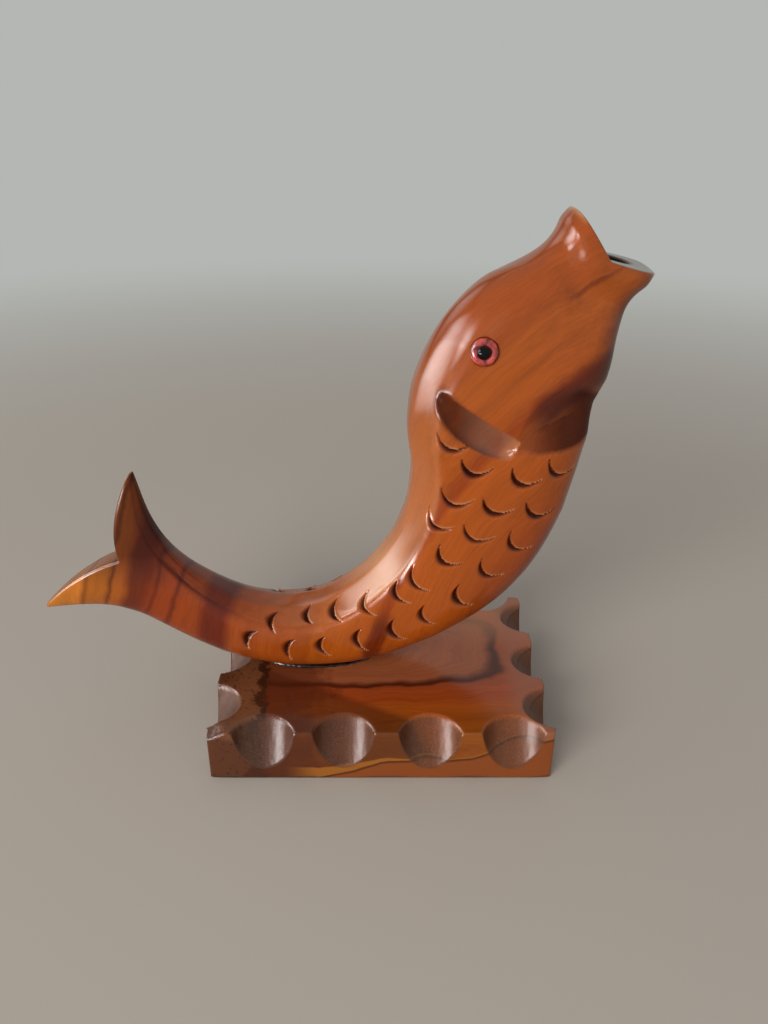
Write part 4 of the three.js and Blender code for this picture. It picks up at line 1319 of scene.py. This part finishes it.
# burr fruitwood, sawn and varnished: restless dark and light figure, glossy on the flat faces
base_wood = new_material("varnished_burr_fruitwood")
spot, (spot_x, spot_y, spot_z) = to_millimetres(base_wood)
total = 0.0
for axis, (middle, reach) in zip((spot_x, spot_y), VEIN_SHAPE):
    share = calc(base_wood, "DIVIDE", calc(base_wood, "SUBTRACT", axis, middle), reach)
    share = calc(base_wood, "POWER", calc(base_wood, "ABSOLUTE", share), VEIN_POWER)
    total = calc(base_wood, "ADD", share, total)
contour = calc(base_wood, "POWER", total, 1 / VEIN_POWER)
# the vein wobbles in waves of about 20 mm
wander = noise(base_wood, spot, 0.05, 3.0, 0.55)
wobble = graded(base_wood, wander, 0.0, 1.0, -VEIN_WOBBLE, VEIN_WOBBLE)
contour = calc(base_wood, "MULTIPLY_ADD", contour, VEIN_SIZE, wobble)
lengthwise = calc(base_wood, "MULTIPLY", spot_x, BASE_DRAW)
colour, fibres = along_fibres(base_wood, contour, lengthwise, spot_z,
                              ring_ramp(base_wood, contour, BASE_ZONES))
# the first tone is painted light behind the fish, over its cast shadow; the second is the wood's
# paler head end
for tone, *step in (("#dc9468", spot_y, 2.0, 22.0, 0.55), ("#94604a", spot_x, 30.0, 37.0, 0.6)):
    colour = tinted(base_wood, colour, tone, step)
print("base wood zones:", len(BASE_ZONES))

# %% [markdown]
# ## The dark end of the base
#
# A dark wedge comes in from the front edge. The tail end of the block is brown as far as a dark
# vein, and mottled dark red beyond it. Each is a tone laid over the wood where some distance
# passes a mark. The wedge ends at a line that climbs along the front face towards the head end, so
# the height of that line is worked out first, in three straight pieces.

# %% Wedge and dark end
FRONT_LINE = ((-15.0, 0.0, 4.6), (0.0, 22.0, 1.2), (22.0, 42.0, 6.0))  # from x, to x, climb
LINE_WOBBLE, WEDGE_SLOPE, WEDGE_EDGE = 0.35, -0.53, -21.2
MOTTLING, CALMER, DARK_VEIN, LOW_END = 9.0, 0.3, 30.3, -14.0

line = calc(base_wood, "MULTIPLY", wobble, LINE_WOBBLE)
for start, stop, climb in FRONT_LINE:
    line = calc(base_wood, "ADD", line, graded(base_wood, spot_x, start, stop, high=climb))
under = calc(base_wood, "SUBTRACT", line, spot_z)
slant = calc(base_wood, "MULTIPLY_ADD", spot_x, WEDGE_SLOPE, WEDGE_EDGE)
wedge = calc(base_wood, "SUBTRACT", slant, spot_y)
# mottling in patches of about 6 mm pushes the edge of the dark end back and forth
patchy = noise(base_wood, spot, 0.16, 6.0, 0.66)
patchy = graded(base_wood, patchy, 0.3, 0.7, -MOTTLING, MOTTLING)
mottled = calc(base_wood, "ADD", spot_x, patchy)
calmer = calc(base_wood, "MULTIPLY_ADD", patchy, CALMER, spot_x)
vein = calc(base_wood, "ABSOLUTE", calc(base_wood, "ADD", calmer, DARK_VEIN))
lower = graded(base_wood, spot_z, 13.0, 9.0, high=LOW_END, smooth=True)
low_end = calc(base_wood, "ADD", calmer, lower)
for tone, *steps in (
    ("#42200e", (wedge, -1.5, 2.0, 0.6), (under, 0.4, -0.4, 1.0)),
    ("#4c1d0f", (mottled, -9.0, -21.0, 0.6)),
    ("#74482c", (calmer, -29.0, -32.0, 0.85)),
    ("#1f0f0a", (vein, 2.2, 0.6, 0.75)),
    ("#4a2212", (low_end, -33.0, -44.0, 0.7)),
):
    colour = tinted(base_wood, colour, tone, *steps)
print("front line climbs %.1f mm" % sum(row[2] for row in FRONT_LINE))

# %% [markdown]
# ## Layers on the front of the base
#
# On the front face the climbing line is thin and dark, with a golden layer above it that narrows
# towards the head end, and orange wood below it. Distances from the line place all three. The tail
# end has small dark pits, where the burr's knots were cut open.

# %% Front layers and pits
GOLD_HEIGHT = 3.6, 0.8  # at its tail end and at its head end

into_gold = calc(base_wood, "ADD", under, graded(base_wood, spot_x, -16.0, 8.0, *GOLD_HEIGHT))
past_dark_end = (spot_x, -24.0, -14.0, 1.0)
# pits about a millimetre wide
pits = noise(base_wood, spot, 0.9, 3.0, 0.6)
for tone, *steps in (
    ("#a0601f", (into_gold, 0.0, 0.5, 0.85), past_dark_end),
    ("#3f1a08", (under, -0.5, -0.1, 0.85), past_dark_end),
    ("#8a461a", (under, 0.1, 0.6, 0.9), past_dark_end),
    ("#1d0d08", (pits, 0.56, 0.66, 0.6), (spot_x, -26.0, -36.0, 1.0)),
):
    colour = tinted(base_wood, colour, tone, *steps)
print("base wood so far:", len(base_wood.node_tree.nodes), "nodes")

# %% [markdown]
# ## End grain in the scallops
#
# The scallops are cut across the fibres. Their open pores drank the stain, and pale specks painted
# into a few pores stand for glints of varnish; the same specks are raised a little. The varnish
# sank in, so they shine more softly than the board. An exported material keeps only one number for
# its coat's roughness, so they get a copy of the wood with another number, on the faces that the
# gouge cut.

# %% Scallop finish
SCALLOP_STAIN, PAINTED_GLINT_COLOUR = "#3f2418", "#a98770"
STAIN_SHARE, PAINTED_GLINT_SHARE, GLINT_SPECK_RELIEF = 0.6, 0.3, 6.0
SUNK_VARNISH_ROUGHNESS, CUT_FACE = 0.33, 0.4

cut_by_gouge = add(base_wood, "Attribute", out="Fac", attribute_name="gouged")
stained = calc(base_wood, "MULTIPLY", cut_by_gouge, STAIN_SHARE)
# real pores are finer still: a fifth of a millimetre is as fine as the picture can show
pores = noise(base_wood, spot, 4.5, 3.0, 0.7)
# pale painted glints in a few pores of the cut faces, also raised by the bump
glint_pores = graded(base_wood, pores, 0.45, 0.75, high=PAINTED_GLINT_SHARE, smooth=True)
glint_specks = calc(base_wood, "MULTIPLY", glint_pores, cut_by_gouge)
for share, tone in ((stained, SCALLOP_STAIN), (glint_specks, PAINTED_GLINT_COLOUR)):
    colour = blend(base_wood, share, colour, tone)
fibres = calc(base_wood, "MULTIPLY_ADD", glint_specks, GLINT_SPECK_RELIEF, fibres)
varnish(base_wood, colour, fibres)
base.data.materials.append(base_wood)

# end grain under sunk varnish: the same dark figure with a broad, silky shine
end_grain = base_wood.copy()
end_grain.name = "varnished_end_grain"
for node in end_grain.node_tree.nodes:
    if node.type == "BSDF_PRINCIPLED":
        node.inputs["Coat Roughness"].default_value = SUNK_VARNISH_ROUGHNESS
base.data.materials.append(end_grain)
gouged = np.zeros(len(base.data.vertices))
base.data.attributes["gouged"].data.foreach_get("value", gouged)
for face in base.data.polygons:
    face.material_index = int(np.mean(gouged[list(face.vertices)]) > CUT_FACE)
print("end grain faces:", sum(face.material_index for face in base.data.polygons))

# %% [markdown]
# ## Glass, enamel, steel and glue
#
# The small pieces are simple, but even glass and enamel aren't one flat colour. One function clouds
# each gently between two tones, over a size in millimetres that suits the material, and the
# roughness, the metal and the coat do the rest.

# %% Small materials
def plain(name, colours, size, roughness, metallic=0.0, coat=0.0, specular=0.5):
    """A material whose colour clouds gently between two tones over a size in millimetres."""
    material = new_material(name)
    spot, _ = to_millimetres(material)
    cloud = graded(material, noise(material, spot, 1 / size), 0.35, 0.65)
    tone = blend(material, cloud, linear(colours[0]), colours[1])
    shine = add(material, "BsdfPrincipled", {
        "Base Color": tone, "Roughness": roughness, "Metallic": metallic,
        "Specular IOR Level": specular, "Coat Weight": coat, "Coat Roughness": 0.05})
    add(material, "OutputMaterial", {"Surface": shine})
    return material


# wound red glass: milky swirls under a clear wet shine
red_glass = plain("red_bead_glass", ("#5e0f16", "#d2504a"), 1.1, 0.3, coat=1.0)
# black stove enamel: almost no colour, and one small sharp point of light
black_enamel = plain("black_pin_enamel", ("#060505", "#120d10"), 1.0, 0.08, specular=0.2)
# zinc plated steel: a pale cloudy grey metal with a dull shine
zinc = plain("zinc_plated_steel", ("#8f9092", "#b4b5b3"), 2.0, 0.34, metallic=1.0)
# hardened wood glue, dark from the stain: brown-black and shiny on its lumps
hard_glue = plain("hard_dark_glue", ("#120804", "#2a130a"), 2.5, 0.16)
print("small materials:", red_glass.name, black_enamel.name, zinc.name, hard_glue.name)

# %% [markdown]
# ## Hand the pieces to the frame
#
# Every piece rides on the carving's one body and stands for its CAD node. The screw keeps its CAD
# shape and only gets its metal.

# %% Ride and finish
pieces = [(fish, "fish_body", "fish_wood", None), (base, "base_block", "base_wood", None),
          (glue, "glue_bead", "dark_glue", hard_glue)]
for name, (bead, pin) in eyes.items():
    pieces += [(bead, name + "_eye_bead", "red_glass", red_glass),
               (pin, name + "_eye_pin", "black_enamel", black_enamel)]
for piece, node_name, slot_name, finish in pieces:
    if finish:
        piece.data.materials.append(finish)
    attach(piece, "root")
    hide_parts(node_name)
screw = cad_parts["base_screw"]
screw.data.materials.clear()
screw.data.materials.append(zinc)
print("pieces dressed:", len(pieces) + 1)
